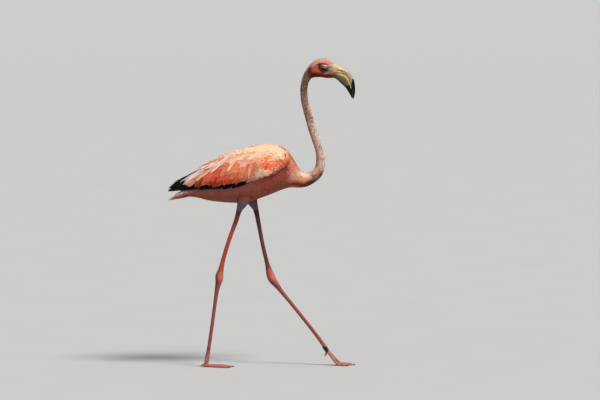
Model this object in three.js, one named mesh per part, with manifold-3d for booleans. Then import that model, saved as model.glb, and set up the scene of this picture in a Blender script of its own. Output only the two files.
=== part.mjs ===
// An American flamingo in mid stride, life size: a still model that stands on both feet.
// Millimetres, +Z up. The bird faces +X, its left side is +Y and the floor is z = 0.
// The origin lies on the floor, under the middle of the bird's bounding box.

import * as THREE from 'three';
import { mergeVertices } from 'three/addons/utils/BufferGeometryUtils.js';
import Module from 'manifold-3d';

const wasm = await Module();
wasm.setup();

// ---------------------------------------------------------------------------
// Driving sizes
// ---------------------------------------------------------------------------

const GAP = 0.3; // clearance between neighbouring solids
const BODY_SIDES = 22; // facets round the trunk
const NECK_SIDES = 16; // facets round the neck and head
const LEG_SIDES = 10; // facets round a leg
const BILL_SIDES = 12; // points round each mandible

// The body line runs from the tail tip to the forehead. Each station gives the point of the
// upper line [x, z], the point of the lower line [x, z] and half the breadth there.
const TAIL_LINE = [
  [[-301, 531], [-301, 528], 9],
  [[-286, 546], [-284, 535], 22],
  [[-262, 563], [-260, 543], 30],
  [[-229, 582], [-230, 545], 31],
];
const TRUNK_LINE = [
  [[-202, 606], [-202, 541], 34],
  [[-172, 634], [-171, 533], 43],
  [[-131, 664], [-131, 528], 54],
  [[-86, 688], [-86, 525], 63],
  [[-42, 705], [-42, 528], 68],
  [[2, 714], [-3, 541], 67],
  [[38, 713], [32, 554], 60],
  [[64, 706], [61, 566], 50],
  [[85, 689], [85, 573], 40],
  [[103, 663], [106, 574], 32],
  [[119, 636], [125, 574], 26],
];
const NECK_LINE = [
  [[136, 623], [146, 578], 21.5],
  [[151, 623.5], [168, 590], 18.5],
  [[164, 632], [187, 606], 17],
  [[171, 646], [198, 627], 16],
  [[173, 666], [203, 653], 15.2],
  [[171, 690], [200, 686], 14.4],
  [[162, 718], [190, 722], 13.4],
  [[148, 760], [173.5, 767], 12.5],
  [[135.5, 806], [159.5, 811], 11.6],
  [[125.5, 847], [148.5, 849], 11],
  [[122, 883], [145.5, 882], 11],
  [[125, 911], [147, 901], 11.2],
  [[131, 932], [152, 915], 12.4],
];
const HEAD_LINE = [
  [[139.5, 949], [160, 924.5], 14.6],
  [[152, 966], [174, 927], 17.4],
  [[169, 980.5], [190, 927], 19.4],
  [[189, 987.5], [206, 924.5], 19.6],
  [[209, 985], [220, 924.5], 17.6],
  [[226, 974], [231, 924.5], 14.8],
];
const BODY_LINE = [...TAIL_LINE, ...TRUNK_LINE, ...NECK_LINE, ...HEAD_LINE];
const TAIL_END = TAIL_LINE.length - 1;
const TRUNK_END = TAIL_END + TRUNK_LINE.length;
const NECK_LOWER_END = TRUNK_END + 4;
const NECK_MIDDLE_END = TRUNK_END + 8;
const NECK_END = TRUNK_END + NECK_LINE.length;
const HEAD_END = BODY_LINE.length - 1;

// The bill bends down half way. Each station gives the point of the culmen [x, z], of the mouth
// line [x, z], of the keel under the lower mandible [x, z], and half the breadth of the upper and
// of the lower mandible.
const BILL_LINE = [
  [[226.6, 973.6], [229.6, 944], [231.6, 924.6], 14.4, 14.6],
  [[243, 968.5], [240, 942], [242, 918], 12.6, 14.6],
  [[261, 959.5], [254, 939.5], [251.5, 908.5], 11.6, 13.6],
  [[277, 947.5], [265.5, 935], [260.5, 900.5], 10.8, 12],
  [[288.5, 931.5], [274.5, 925], [268, 893], 9.8, 10.2],
  [[295.5, 911.5], [281, 909.5], [274, 884], 8.4, 8.4],
  [[298, 890], [286, 891], [280.5, 873], 6.6, 6.4],
  [[296.5, 871], [288.6, 875], [285.4, 864], 4.6, 4.2],
  [[292, 857.5], [289.4, 861], [288.4, 859.4], 1.8, 1.4],
];

const EYE_CENTRE = [200.5, 14.2, 962];
const EYE_RADIUS = 6.5;

// The folded wing is a curved slab on the flank. Each station gives x, the upper and lower edge
// heights, how far the upper edge, the middle and the lower edge stand from the body's middle
// plane, and the slab's thickness.
const WING_LINE = [
  [97, 672, 660, 29, 33, 35, 7],
  [86, 688, 648, 27, 41, 45, 14],
  [66, 699, 635, 29, 52, 56, 18],
  [32, 706, 619, 34, 67, 70, 20],
  [-13, 706.5, 604, 34, 78, 78, 22],
  [-61, 699, 588, 26, 81, 79, 22],
  [-109, 686.5, 579.5, 14, 76, 73, 18],
  [-157, 665, 576.5, 5, 64, 63, 13],
  [-198, 641.5, 576.5, 2, 50, 52, 10],
  [-230, 623.5, 577.5, 1.6, 37, 41, 8],
  [-252, 610, 580, 1.6, 26, 30, 6],
  [-266, 600, 584, 4, 15, 20, 4],
];

// The black flight feathers lie under the wing and show below and behind it. Each station gives
// x, the upper and lower edge heights, the distance from the middle plane and the thickness.
const PRIMARY_LINE = [
  [-56, 593, 582, 71, 4],
  [-84, 600, 573, 68, 5],
  [-122, 604, 568.5, 63, 5],
  [-160, 604, 566.5, 55, 5],
  [-198, 602, 566, 46, 5],
  [-230, 600, 566.5, 35, 5],
  [-258, 602, 564.5, 24, 4.6],
  [-280, 588, 562.5, 15, 4],
  [-300.5, 570.5, 564.5, 8, 2],
];

// A leg's line runs from the hip to the foot joint. Each station gives x, z and the half depth
// fore and aft. The half breadth is the depth times LEG_BREADTH.
const RIGHT_LEG_LINE = [
  [-45, 590, 30],
  [-52, 556, 27],
  [-62, 528, 17.5],
  [-73, 502, 8.8],
  [-82.5, 470, 7.3],
  [-100, 422, 6.7],
  [-112.5, 384, 6.7],
  [-124, 344, 7],
  [-131, 313, 8.6],
  [-135.5, 296, 11.4],
  [-137, 281, 11.6],
  [-140.5, 264, 9],
  [-145, 240, 6.8],
  [-150, 205, 5.9],
  [-157, 153, 5.7],
  [-165, 96, 5.7],
  [-172, 50, 6.2],
  [-176.5, 24, 7.6],
  [-179, 9, 7],
];
const LEFT_LEG_LINE = [
  [-45, 590, 30],
  [-40, 556, 26],
  [-31, 528, 17],
  [-20.5, 502, 8.8],
  [-12, 461, 7.2],
  [-3, 413, 6.5],
  [5.5, 372, 6.5],
  [15, 333, 7],
  [20.5, 312, 9],
  [25.5, 294, 11.2],
  [33, 276, 11.8],
  [47, 258, 9.2],
  [62.5, 237.5, 6.8],
  [86, 209, 5.9],
  [124.5, 161, 5.7],
  [162.5, 113, 5.7],
  [191, 75, 6.2],
  [202, 58, 7.6],
  [210.5, 45, 7],
];
const LEG_BREADTH = 0.94;
const THIGH_END = 3;
const SHIN_END = 8;
const TARSUS_END = 17;
const LEG_END = 18;
const HIP_Y = 36;
const RIGHT_FOOT_Y = -24;
const LEFT_FOOT_Y = 36;

// A toe's outline as it leaves the foot joint: distance along the toe as a share of its length,
// height of the sole, height of the toe above its sole, and half breadth.
const TOE_FLAT = [
  [-0.09, 0, 9, 5.4],
  [0, 0, 13, 6.2],
  [0.16, 0, 9.5, 5.2],
  [0.42, 0, 8.2, 4.7],
  [0.72, 0, 7, 4.3],
  [0.93, 0, 5.6, 3.6],
  [1, 0, 4, 2.6],
];
const TOE_LANDING = [
  [-0.05, 42, 8, 5.4],
  [0.06, 35, 13, 6.2],
  [0.24, 20, 12, 5.2],
  [0.42, 7, 10, 4.8],
  [0.57, 0, 8.2, 4.6],
  [0.76, 0, 6.8, 4.3],
  [0.93, 0, 5.6, 3.6],
  [1, 0, 4, 2.6],
];
// name, angle away from straight ahead towards the bird's outer side, and length
const TOES = [
  ['inner', THREE.MathUtils.degToRad(-27), 68],
  ['middle', 0, 82],
  ['outer', THREE.MathUtils.degToRad(25), 78],
];
const WEB_START = 0.2; // share of the toe length where the web begins
const WEB_REACH = 0.93; // share of the toe length the web reaches along each toe
const WEB_HOLLOW = 0.2; // how far its front edge is cut back between two toes
const WEB_LIFT = 0.9; // height of the web's underside above the sole
const WEB_THICKNESS = 1.4;
const WEB_POINTS_ACROSS = 4;
const WEB_STEPS_ALONG = 4;
// The hind toe: distance from the foot joint, height above its own line and half thickness.
const HIND_TOE = [
  [3, 0, 3.8],
  [9, 0.4, 3.6],
  [14, 0, 2.6],
  [17, -0.6, 1.6],
  [20, -1.8, 0.6],
];
const HIND_TOE_SIDES = 8;
const HIND_TOE_STANDING = THREE.MathUtils.degToRad(12);
const HIND_TOE_LANDING = THREE.MathUtils.degToRad(58);
const CLAW_LENGTH = 8;
const CLAW_LIFT = 0.5;

// ---------------------------------------------------------------------------
// Materials
// ---------------------------------------------------------------------------

function finish(color, roughness) {
  return new THREE.MeshStandardMaterial({ color, roughness, metalness: 0 });
}

const PEACH_PLUMAGE = 0xf0b090;
const PALE_NECK_PLUMAGE = 0xd9b2a6;
const HEAD_PLUMAGE = 0xd98a6c;
const ORANGE_PLUMAGE = 0xe88460;
const BLACK_PLUMAGE = 0x141012;
const TAIL_PLUMAGE = 0xd9a798;
const THIGH_PLUMAGE = 0x9a7068;
const LEG_SKIN = 0xb0564c;
const CLAW_HORN = 0x2a2422;
const BILL_HORN = 0xd8cf9e;
const EYE_YELLOW = 0xd9c46a;

// ---------------------------------------------------------------------------
// Building blocks
// ---------------------------------------------------------------------------

function vec(x, y, z) {
  return new THREE.Vector3(x, y, z);
}

// A smooth rail through the points, passing point i at i / (number of points - 1).
function rail(points) {
  return new THREE.CatmullRomCurve3(points, false, 'catmullrom', 0.5);
}

// Rings of equal count, skinned into one closed body. Point i of a ring lies across from point
// n - 1 - i, so each end is closed by the quads between such pairs.
function loft(rings) {
  const count = rings[0].length;
  const index = [];
  const quad = (a, b, c, d) => index.push(a, b, c, a, c, d);
  for (let r = 0; r + 1 < rings.length; r += 1) {
    for (let i = 0; i < count; i += 1) {
      const near = r * count;
      const far = near + count;
      const next = (i + 1) % count;
      quad(near + i, near + next, far + next, far + i);
    }
  }
  const last = (rings.length - 1) * count;
  for (let i = 0; i + 1 < count / 2; i += 1) {
    const across = count - 1 - i;
    quad(across, across - 1, i + 1, i);
    quad(last + i, last + i + 1, last + across - 1, last + across);
  }
  const geometry = new THREE.BufferGeometry();
  geometry.setFromPoints(rings.flat());
  geometry.setIndex(index);
  return facingOut(geometry);
}

// The same geometry with its faces turned outward, whichever way its rings ran.
function facingOut(geometry) {
  const position = geometry.attributes.position;
  const index = geometry.index.array;
  const a = vec(0, 0, 0);
  const b = vec(0, 0, 0);
  const c = vec(0, 0, 0);
  let volume = 0;
  for (let i = 0; i < index.length; i += 3) {
    a.fromBufferAttribute(position, index[i]);
    b.fromBufferAttribute(position, index[i + 1]);
    c.fromBufferAttribute(position, index[i + 2]);
    volume += a.dot(b.cross(c));
  }
  if (volume < 0) {
    geometry.setIndex(Array.from(index).reverse());
  }
  return geometry;
}

// An oval ring between an upper and a lower point, `half` to each side of them.
function ovalRing(top, bottom, half, sides, grow = 0) {
  const middle = top.clone().add(bottom).multiplyScalar(0.5);
  const up = top.clone().sub(bottom);
  const rise = up.length() / 2 + grow;
  up.normalize();
  const ring = [];
  for (let i = 0; i < sides; i += 1) {
    const angle = (2 * Math.PI * (i + 0.5)) / sides;
    const point = middle.clone().addScaledVector(up, rise * Math.cos(angle));
    point.y += (half + grow) * Math.sin(angle);
    ring.push(point);
  }
  return ring;
}

// An arched ring that is flat on its base and `half` wide there, domed towards the crest.
function domeRing(base, crest, half, sides) {
  const rise = crest.clone().sub(base);
  const ring = [];
  for (let i = 0; i < sides; i += 1) {
    const angle = (Math.PI * i) / (sides - 1);
    const point = base.clone().addScaledVector(rise, Math.sin(angle));
    point.y += half * Math.sign(Math.cos(angle)) * Math.abs(Math.cos(angle)) ** 0.8;
    ring.push(point);
  }
  return ring;
}

function toSolid(geometry) {
  const bare = geometry.clone();
  bare.deleteAttribute('normal');
  bare.deleteAttribute('uv');
  const merged = mergeVertices(bare);
  return new wasm.Manifold(new wasm.Mesh({
    numProp: 3,
    vertProperties: new Float32Array(merged.attributes.position.array),
    triVerts: new Uint32Array(merged.index.array),
  }));
}

function toGeometry(solid) {
  const mesh = solid.getMesh();
  const geometry = new THREE.BufferGeometry();
  geometry.setAttribute('position', new THREE.BufferAttribute(mesh.vertProperties, 3));
  geometry.setIndex(new THREE.BufferAttribute(mesh.triVerts, 1));
  return geometry;
}

function joined(geometries) {
  return geometries.map(toSolid).reduce((whole, piece) => whole.add(piece));
}

// The geometry of `geometry` with each of the `others` cut away.
function without(geometry, others) {
  const rest = others.map(toSolid).reduce((whole, cutter) => whole.subtract(cutter), toSolid(geometry));
  return toGeometry(rest);
}

// A mirror image across the body's middle plane.
function mirrored(geometry) {
  return facingOut(geometry.clone().scale(1, -1, 1));
}

const flamingo = new THREE.Group();

function place(name, geometry, material) {
  const mesh = new THREE.Mesh(geometry, material);
  mesh.name = name;
  flamingo.add(mesh);
}

// ---------------------------------------------------------------------------
// Tail, trunk, neck and head: one body, parted by thin cuts
// ---------------------------------------------------------------------------

const backRail = rail(BODY_LINE.map(([top]) => vec(top[0], 0, top[1])));
const bellyRail = rail(BODY_LINE.map(([, bottom]) => vec(bottom[0], 0, bottom[1])));
const breadthRail = rail(BODY_LINE.map(([, , half]) => vec(0, half, 0)));

function bodyRing(station, sides, grow, shift) {
  const t = station / HEAD_END;
  const top = backRail.getPoint(t);
  const bottom = bellyRail.getPoint(t);
  const along = vec(top.z - bottom.z, 0, bottom.x - top.x).normalize().multiplyScalar(shift);
  return ovalRing(top.add(along), bottom.add(along), breadthRail.getPoint(t).y, sides, grow);
}

// The length of the body from one station to another. Its ends stand back by half a gap.
function bodyLength(from, to, perStation, sides, grow = 0) {
  const steps = Math.round((to - from) * perStation);
  const rings = [];
  for (let i = 0; i <= steps; i += 1) {
    let shift = 0;
    if (i === 0 && from > 0) {
      shift = GAP / 2 - grow;
    }
    if (i === steps) {
      shift = -GAP / 2 + grow;
    }
    rings.push(bodyRing(from + ((to - from) * i) / steps, sides, grow, shift));
  }
  return loft(rings);
}

const trunkCutter = bodyLength(TAIL_END, TRUNK_END, 2, BODY_SIDES, GAP);
const tailCutter = bodyLength(0, TAIL_END, 2, BODY_SIDES, GAP);

place('trunk', bodyLength(TAIL_END, TRUNK_END, 2, BODY_SIDES), finish(PEACH_PLUMAGE, 0.8));
place('tail', bodyLength(0, TAIL_END, 2, BODY_SIDES), finish(TAIL_PLUMAGE, 0.8));
place('neck_lower', bodyLength(TRUNK_END, NECK_LOWER_END, 2, NECK_SIDES), finish(PALE_NECK_PLUMAGE, 0.85));
place('neck_middle', bodyLength(NECK_LOWER_END, NECK_MIDDLE_END, 2, NECK_SIDES), finish(PALE_NECK_PLUMAGE, 0.85));
place('neck_upper', bodyLength(NECK_MIDDLE_END, NECK_END, 2, NECK_SIDES), finish(PALE_NECK_PLUMAGE, 0.85));

// ---------------------------------------------------------------------------
// Eyes, each a ball in a socket
// ---------------------------------------------------------------------------

function eyeBall(side, radius) {
  const ball = new THREE.SphereGeometry(radius, 12, 8);
  ball.rotateX(Math.PI / 2);
  return ball.translate(EYE_CENTRE[0], side * EYE_CENTRE[1], EYE_CENTRE[2]);
}

const skull = bodyLength(NECK_END, HEAD_END, 2, NECK_SIDES);
place('head', without(skull, [1, -1].map((side) => eyeBall(side, EYE_RADIUS + GAP))), finish(HEAD_PLUMAGE, 0.8));
place('eye_left', eyeBall(1, EYE_RADIUS), finish(EYE_YELLOW, 0.15));
place('eye_right', eyeBall(-1, EYE_RADIUS), finish(EYE_YELLOW, 0.15));

// ---------------------------------------------------------------------------
// Bill: an arched upper mandible like a lid over the deep, keeled lower one
// ---------------------------------------------------------------------------

function mandible(edgeIndex, halfIndex, sides) {
  const steps = (BILL_LINE.length - 1) * 1.5;
  const edgeRail = rail(BILL_LINE.map((station) => vec(station[edgeIndex][0], 0, station[edgeIndex][1])));
  const mouthRail = rail(BILL_LINE.map(([, mouth]) => vec(mouth[0], 0, mouth[1])));
  const halfRail = rail(BILL_LINE.map((station) => vec(0, station[halfIndex], 0)));
  const rings = [];
  for (let i = 0; i <= steps; i += 1) {
    const t = i / steps;
    const edge = edgeRail.getPoint(t);
    const mouth = mouthRail.getPoint(t);
    const lift = edge.clone().sub(mouth).normalize().multiplyScalar(GAP / 2);
    rings.push(domeRing(mouth.add(lift), edge, halfRail.getPoint(t).y, sides));
  }
  return loft(rings);
}

place('bill_upper', mandible(0, 3, BILL_SIDES), finish(BILL_HORN, 0.4));
place('bill_lower', mandible(2, 4, BILL_SIDES), finish(BILL_HORN, 0.4));

// ---------------------------------------------------------------------------
// Wings and flight feathers
// ---------------------------------------------------------------------------

const WING_EDGE_POINTS = 7;
const WING_CLEARANCE = 1; // how far a wing keeps from the body's middle plane
const PRIMARY_RING_SIDES = 8;

// One ring of the wing slab: down the outer face, then up the inner one.
function wingRing([x, topZ, bottomZ, topY, middleY, bottomY, thickness]) {
  const middleZ = (topZ + bottomZ) / 2;
  const top = vec(x, topY, topZ);
  const bottom = vec(x, bottomY, bottomZ);
  const control = vec(x, 2 * middleY, 2 * middleZ).sub(top.clone().add(bottom).multiplyScalar(0.5));
  const face = new THREE.QuadraticBezierCurve3(top, control.setX(x), bottom);
  const outer = [];
  const inner = [];
  for (let i = 0; i < WING_EDGE_POINTS; i += 1) {
    const t = i / (WING_EDGE_POINTS - 1);
    const point = face.getPoint(t);
    const along = face.getTangent(t);
    outer.push(point);
    const innerY = Math.max(point.y + along.z * thickness, WING_CLEARANCE);
    inner.unshift(vec(x, innerY, point.z - along.y * thickness));
  }
  return [...outer, ...inner];
}

// One ring of the flight feathers, leaning in towards the top.
function primaryRing([x, topZ, bottomZ, y, thickness], grow) {
  const lean = 0.12 * (topZ - bottomZ);
  return ovalRing(vec(x, y - lean, topZ), vec(x, y, bottomZ), thickness / 2, PRIMARY_RING_SIDES, grow);
}

// Stations blended by a rail through each of their numbers, `perStation` rings to each.
function blended(stations, perStation) {
  const rails = stations[0].map((_, column) => rail(stations.map((row) => vec(row[column], 0, 0))));
  const steps = (stations.length - 1) * perStation;
  return Array.from({ length: steps + 1 }, (_, i) => rails.map((curve) => curve.getPoint(i / steps).x));
}

const flightFeathers = (grow) => loft(blended(PRIMARY_LINE, 1).map((station) => primaryRing(station, grow)));
const leftPrimaries = without(flightFeathers(0), [trunkCutter, tailCutter]);
const leftWing = without(
  loft(blended(WING_LINE, 2).map(wingRing)),
  [trunkCutter, tailCutter, flightFeathers(GAP)],
);

place('wing_left', leftWing, finish(ORANGE_PLUMAGE, 0.75));
place('wing_right', mirrored(leftWing), finish(ORANGE_PLUMAGE, 0.75));
place('primaries_left', leftPrimaries, finish(BLACK_PLUMAGE, 0.6));
place('primaries_right', mirrored(leftPrimaries), finish(BLACK_PLUMAGE, 0.6));

// ---------------------------------------------------------------------------
// Legs
// ---------------------------------------------------------------------------

// The point, direction and half depth of a leg at a station, with its distance from the middle
// plane running evenly from the hip to the foot.
function legCurve(line, hipY, footY) {
  const topZ = line[0][1];
  const centre = rail(line.map(([x, z]) => vec(x, footY + ((hipY - footY) * z) / topZ, z)));
  const depth = rail(line.map(([, , half]) => vec(half, 0, 0)));
  return { centre, depth };
}

function legLength(curve, from, to, perStation) {
  const steps = Math.round((to - from) * perStation);
  const rings = [];
  for (let i = 0; i <= steps; i += 1) {
    const t = (from + ((to - from) * i) / steps) / LEG_END;
    const along = curve.centre.getTangent(t);
    const half = curve.depth.getPoint(t).x;
    const fore = vec(-along.z, 0, along.x).normalize().multiplyScalar(half);
    const centre = curve.centre.getPoint(t);
    if (i === 0 && from > 0) {
      centre.addScaledVector(along, GAP / 2);
    }
    if (i === steps && to < LEG_END) {
      centre.addScaledVector(along, -GAP / 2);
    }
    const top = centre.clone().add(fore);
    const bottom = centre.clone().sub(fore);
    rings.push(ovalRing(top, bottom, half * LEG_BREADTH, LEG_SIDES));
  }
  return loft(rings);
}

// ---------------------------------------------------------------------------
// Feet: three webbed toes, a small raised hind toe and claws
// ---------------------------------------------------------------------------

// The outline of a toe across its length, flat underneath: share of the half breadth, share of
// the height.
const TOE_SECTION = [
  [0.72, 0],
  [1, 0.34],
  [0.84, 0.78],
  [0.36, 1],
  [-0.36, 1],
  [-0.84, 0.78],
  [-1, 0.34],
  [-0.72, 0],
];

function toeRing(joint, angle, distance, sole, height, half) {
  return TOE_SECTION.map(([across, up]) => vec(
    joint.x + distance * Math.cos(angle) - across * half * Math.sin(angle),
    joint.y + distance * Math.sin(angle) + across * half * Math.cos(angle),
    sole + up * height,
  ));
}

function toe(joint, angle, length, outline) {
  return loft(outline.map(([share, sole, height, half]) => (
    toeRing(joint, angle, share * length, sole, height, half)
  )));
}

// A toe's claw: a short curved wedge, just clear of the toe and of the floor.
function claw(joint, angle, length) {
  const start = length + GAP;
  const shares = [[0, 3.2, 2.3], [0.5, 2.8, 1.9], [1, 1, 0.8]];
  return loft(shares.map(([share, height, half]) => (
    toeRing(joint, angle, start + share * CLAW_LENGTH, CLAW_LIFT, height, half)
  )));
}

function soleHeight(outline, share) {
  const next = outline.findIndex(([s]) => s >= share);
  const [fromShare, fromSole] = outline[next - 1];
  const [toShare, toSole] = outline[next];
  return THREE.MathUtils.mapLinear(share, fromShare, toShare, fromSole, toSole);
}

// The web between two toes, as a thin sheet whose front edge is hollow.
function web(joint, [fromAngle, fromLength], [toAngle, toLength], outline) {
  const rings = [];
  for (let i = 0; i <= WEB_STEPS_ALONG; i += 1) {
    const under = [];
    const over = [];
    for (let k = 0; k < WEB_POINTS_ACROSS; k += 1) {
      const v = k / (WEB_POINTS_ACROSS - 1);
      const angle = THREE.MathUtils.lerp(fromAngle, toAngle, v);
      const hollow = WEB_REACH - WEB_HOLLOW * Math.sin(Math.PI * v);
      const share = THREE.MathUtils.lerp(WEB_START, hollow, i / WEB_STEPS_ALONG);
      const distance = share * THREE.MathUtils.lerp(fromLength, toLength, v);
      const x = joint.x + distance * Math.cos(angle);
      const y = joint.y + distance * Math.sin(angle);
      const sole = soleHeight(outline, share) + WEB_LIFT;
      under.push(vec(x, y, sole));
      over.unshift(vec(x, y, sole + WEB_THICKNESS));
    }
    rings.push([...under, ...over]);
  }
  return loft(rings);
}

// The small hind toe, with its claw, leaves the back of the foot joint at an angle below level.
function hindToe(joint, droop) {
  const back = vec(-Math.cos(droop), 0, -Math.sin(droop));
  const up = vec(-Math.sin(droop), 0, Math.cos(droop));
  return loft(HIND_TOE.map(([distance, rise, half]) => {
    const centre = joint.clone().addScaledVector(back, distance).addScaledVector(up, rise);
    const top = centre.clone().addScaledVector(up, half);
    const bottom = centre.clone().addScaledVector(up, -half);
    return ovalRing(top, bottom, half, HIND_TOE_SIDES);
  }));
}

function placeLeg(side, line, hipY, footY, outline, droop) {
  const curve = legCurve(line, hipY, footY);
  const outward = Math.sign(hipY);
  const joint = curve.centre.getPoint(1);
  const toes = TOES.map(([name, angle, length]) => ({ name, angle: outward * angle, length }));
  const webs = [0, 1].map((i) => web(
    joint,
    [toes[i].angle, toes[i].length],
    [toes[i + 1].angle, toes[i + 1].length],
    outline,
  ));
  const foot = joined([
    legLength(curve, TARSUS_END, LEG_END, 2),
    ...toes.map(({ angle, length }) => toe(joint, angle, length, outline)),
    ...webs,
    hindToe(joint, droop),
  ]);
  const thigh = without(legLength(curve, 0, THIGH_END, 3), [trunkCutter]);
  place(`thigh_${side}`, thigh, finish(THIGH_PLUMAGE, 0.85));
  place(`shin_${side}`, legLength(curve, THIGH_END, SHIN_END, 1), finish(LEG_SKIN, 0.55));
  place(`tarsus_${side}`, legLength(curve, SHIN_END, TARSUS_END, 1), finish(LEG_SKIN, 0.55));
  place(`foot_${side}`, toGeometry(foot), finish(LEG_SKIN, 0.55));
  toes.forEach(({ name, angle, length }) => {
    place(`claw_${name}_${side}`, claw(joint, angle, length), finish(CLAW_HORN, 0.45));
  });
}

placeLeg('right', RIGHT_LEG_LINE, -HIP_Y, RIGHT_FOOT_Y, TOE_FLAT, HIND_TOE_STANDING);
placeLeg('left', LEFT_LEG_LINE, HIP_Y, LEFT_FOOT_Y, TOE_LANDING, HIND_TOE_LANDING);

export default flamingo;
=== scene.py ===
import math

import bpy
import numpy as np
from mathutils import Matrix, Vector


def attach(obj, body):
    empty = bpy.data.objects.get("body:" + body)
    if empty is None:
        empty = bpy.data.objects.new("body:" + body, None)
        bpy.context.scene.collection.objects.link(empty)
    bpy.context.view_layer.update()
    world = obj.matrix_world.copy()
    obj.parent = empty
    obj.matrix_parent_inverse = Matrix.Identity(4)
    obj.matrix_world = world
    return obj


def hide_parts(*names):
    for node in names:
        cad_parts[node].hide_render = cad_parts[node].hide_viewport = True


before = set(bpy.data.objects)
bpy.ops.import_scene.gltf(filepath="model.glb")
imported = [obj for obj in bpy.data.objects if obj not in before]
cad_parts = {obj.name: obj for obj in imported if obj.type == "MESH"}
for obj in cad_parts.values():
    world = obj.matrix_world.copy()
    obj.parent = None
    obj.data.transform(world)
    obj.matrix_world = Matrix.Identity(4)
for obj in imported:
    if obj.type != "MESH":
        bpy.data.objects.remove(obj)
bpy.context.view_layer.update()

# The looks of a still, life-size American flamingo in mid stride. The solids of the frame give its
# outer form. One skin lies inside them, and the plumage grows from it as thin solid vanes.
# Tables are in millimetres and everything that is made is in metres. The bird faces +X, its left
# side is +Y and the floor is z = 0.

MM = 0.001

# ---- Camera, floor and light ----

PICTURE_WIDTH = 600  # pixels
PICTURE_HEIGHT = 400
PIXEL = 3.2 * MM  # what one pixel spans at the bird
ORIGIN_COLUMN = 262  # where the frame's origin falls in the picture
FLOOR_ROW = 367
CAMERA_DISTANCE = 12.0
CAMERA_ELEVATION = math.radians(3)
VIEW_DEPTH = 6000.0


def add_camera():
    aim = np.array([
        (PICTURE_WIDTH / 2 - ORIGIN_COLUMN) * PIXEL,
        0,
        (FLOOR_ROW - PICTURE_HEIGHT / 2) * PIXEL,
    ])
    camera = bpy.data.cameras.new("camera")
    camera.angle = 2 * math.atan(PICTURE_WIDTH * PIXEL / 2 / CAMERA_DISTANCE)
    camera.clip_end = VIEW_DEPTH
    holder = bpy.data.objects.new("camera", camera)
    holder.location = aim + CAMERA_DISTANCE * np.array(
        [0, -math.cos(CAMERA_ELEVATION), math.sin(CAMERA_ELEVATION)]
    )
    holder.rotation_euler = (math.pi / 2 - CAMERA_ELEVATION, 0, 0)
    bpy.context.scene.collection.objects.link(holder)
    bpy.context.scene.camera = holder


# name, the direction it comes from, strength, softness in degrees, colour
SUNS = [
    ("key", (0.5, -0.5, 1.0), 3.5, 20, (1.0, 0.97, 0.93)),
    ("fill", (-0.5, -0.9, 0.3), 0.35, 50, (0.95, 0.97, 1.0)),
]
ROOM_COLOUR = (0.97, 0.985, 1.0)
ROOM_STRENGTH = 0.3


def add_lights():
    for name, place, strength, softness, colour in SUNS:
        sun = bpy.data.lights.new(name, "SUN")
        sun.energy = strength
        sun.angle = math.radians(softness)
        sun.color = colour
        holder = bpy.data.objects.new(name, sun)
        holder.rotation_euler = (-Vector(place)).to_track_quat("-Z", "Y").to_euler()
        bpy.context.scene.collection.objects.link(holder)
    world = bpy.data.worlds.new("room")
    world.use_nodes = True
    background = world.node_tree.nodes["Background"]
    background.inputs["Color"].default_value = (*ROOM_COLOUR, 1)
    background.inputs["Strength"].default_value = ROOM_STRENGTH
    bpy.context.scene.world = world


# ---- Measures of the bird, as the frame's solids have them ----

# From the tail tip to the forehead: upper line x, z, lower line x, z, half breadth.
BODY_LINE = np.array([
    (-301, 531, -301, 528, 9),
    (-286, 546, -284, 535, 22),
    (-262, 563, -260, 543, 30),
    (-229, 582, -230, 545, 31),
    (-202, 606, -202, 541, 34),
    (-172, 634, -171, 533, 43),
    (-131, 664, -131, 528, 54),
    (-86, 688, -86, 525, 63),
    (-42, 705, -42, 528, 68),
    (2, 714, -3, 541, 67),
    (38, 713, 32, 554, 60),
    (64, 706, 61, 566, 50),
    (85, 689, 85, 573, 40),
    (103, 663, 106, 574, 32),
    (119, 636, 125, 574, 26),
    (136, 623, 146, 578, 21.5),
    (151, 623.5, 168, 590, 18.5),
    (164, 632, 187, 606, 17),
    (171, 646, 198, 627, 16),
    (173, 666, 203, 653, 15.2),
    (171, 690, 200, 686, 14.4),
    (162, 718, 190, 722, 13.4),
    (148, 760, 173.5, 767, 12.5),
    (135.5, 806, 159.5, 811, 11.6),
    (125.5, 847, 148.5, 849, 11),
    (122, 883, 145.5, 882, 11),
    (125, 911, 147, 901, 11.2),
    (131, 932, 152, 915, 12.4),
    (139.5, 949, 160, 924.5, 14.6),
    (152, 966, 174, 927, 17.4),
    (169, 980.5, 190, 927, 19.4),
    (189, 987.5, 206, 924.5, 19.6),
    (209, 985, 220, 924.5, 17.6),
    (226, 974, 231, 924.5, 14.8),
], float)
BODY_END = len(BODY_LINE) - 1

# culmen x, z, mouth line x, z, keel x, z, half breadths of the upper and the lower mandible
BILL_LINE = np.array([
    (226.6, 973.6, 229.6, 944, 231.6, 924.6, 14.4, 14.6),
    (243, 968.5, 240, 942, 242, 918, 12.6, 14.6),
    (261, 959.5, 254, 939.5, 251.5, 908.5, 11.6, 13.6),
    (277, 947.5, 265.5, 935, 260.5, 900.5, 10.8, 12),
    (288.5, 931.5, 274.5, 925, 268, 893, 9.8, 10.2),
    (295.5, 911.5, 281, 909.5, 274, 884, 8.4, 8.4),
    (298, 890, 286, 891, 280.5, 873, 6.6, 6.4),
    (296.5, 871, 288.6, 875, 285.4, 864, 4.6, 4.2),
    (292, 857.5, 289.4, 861, 288.4, 859.4, 1.8, 1.4),
], float)

EYE_CENTRE = np.array([200.5, 13.6, 962])
EYE_RADIUS = 6.0

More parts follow.
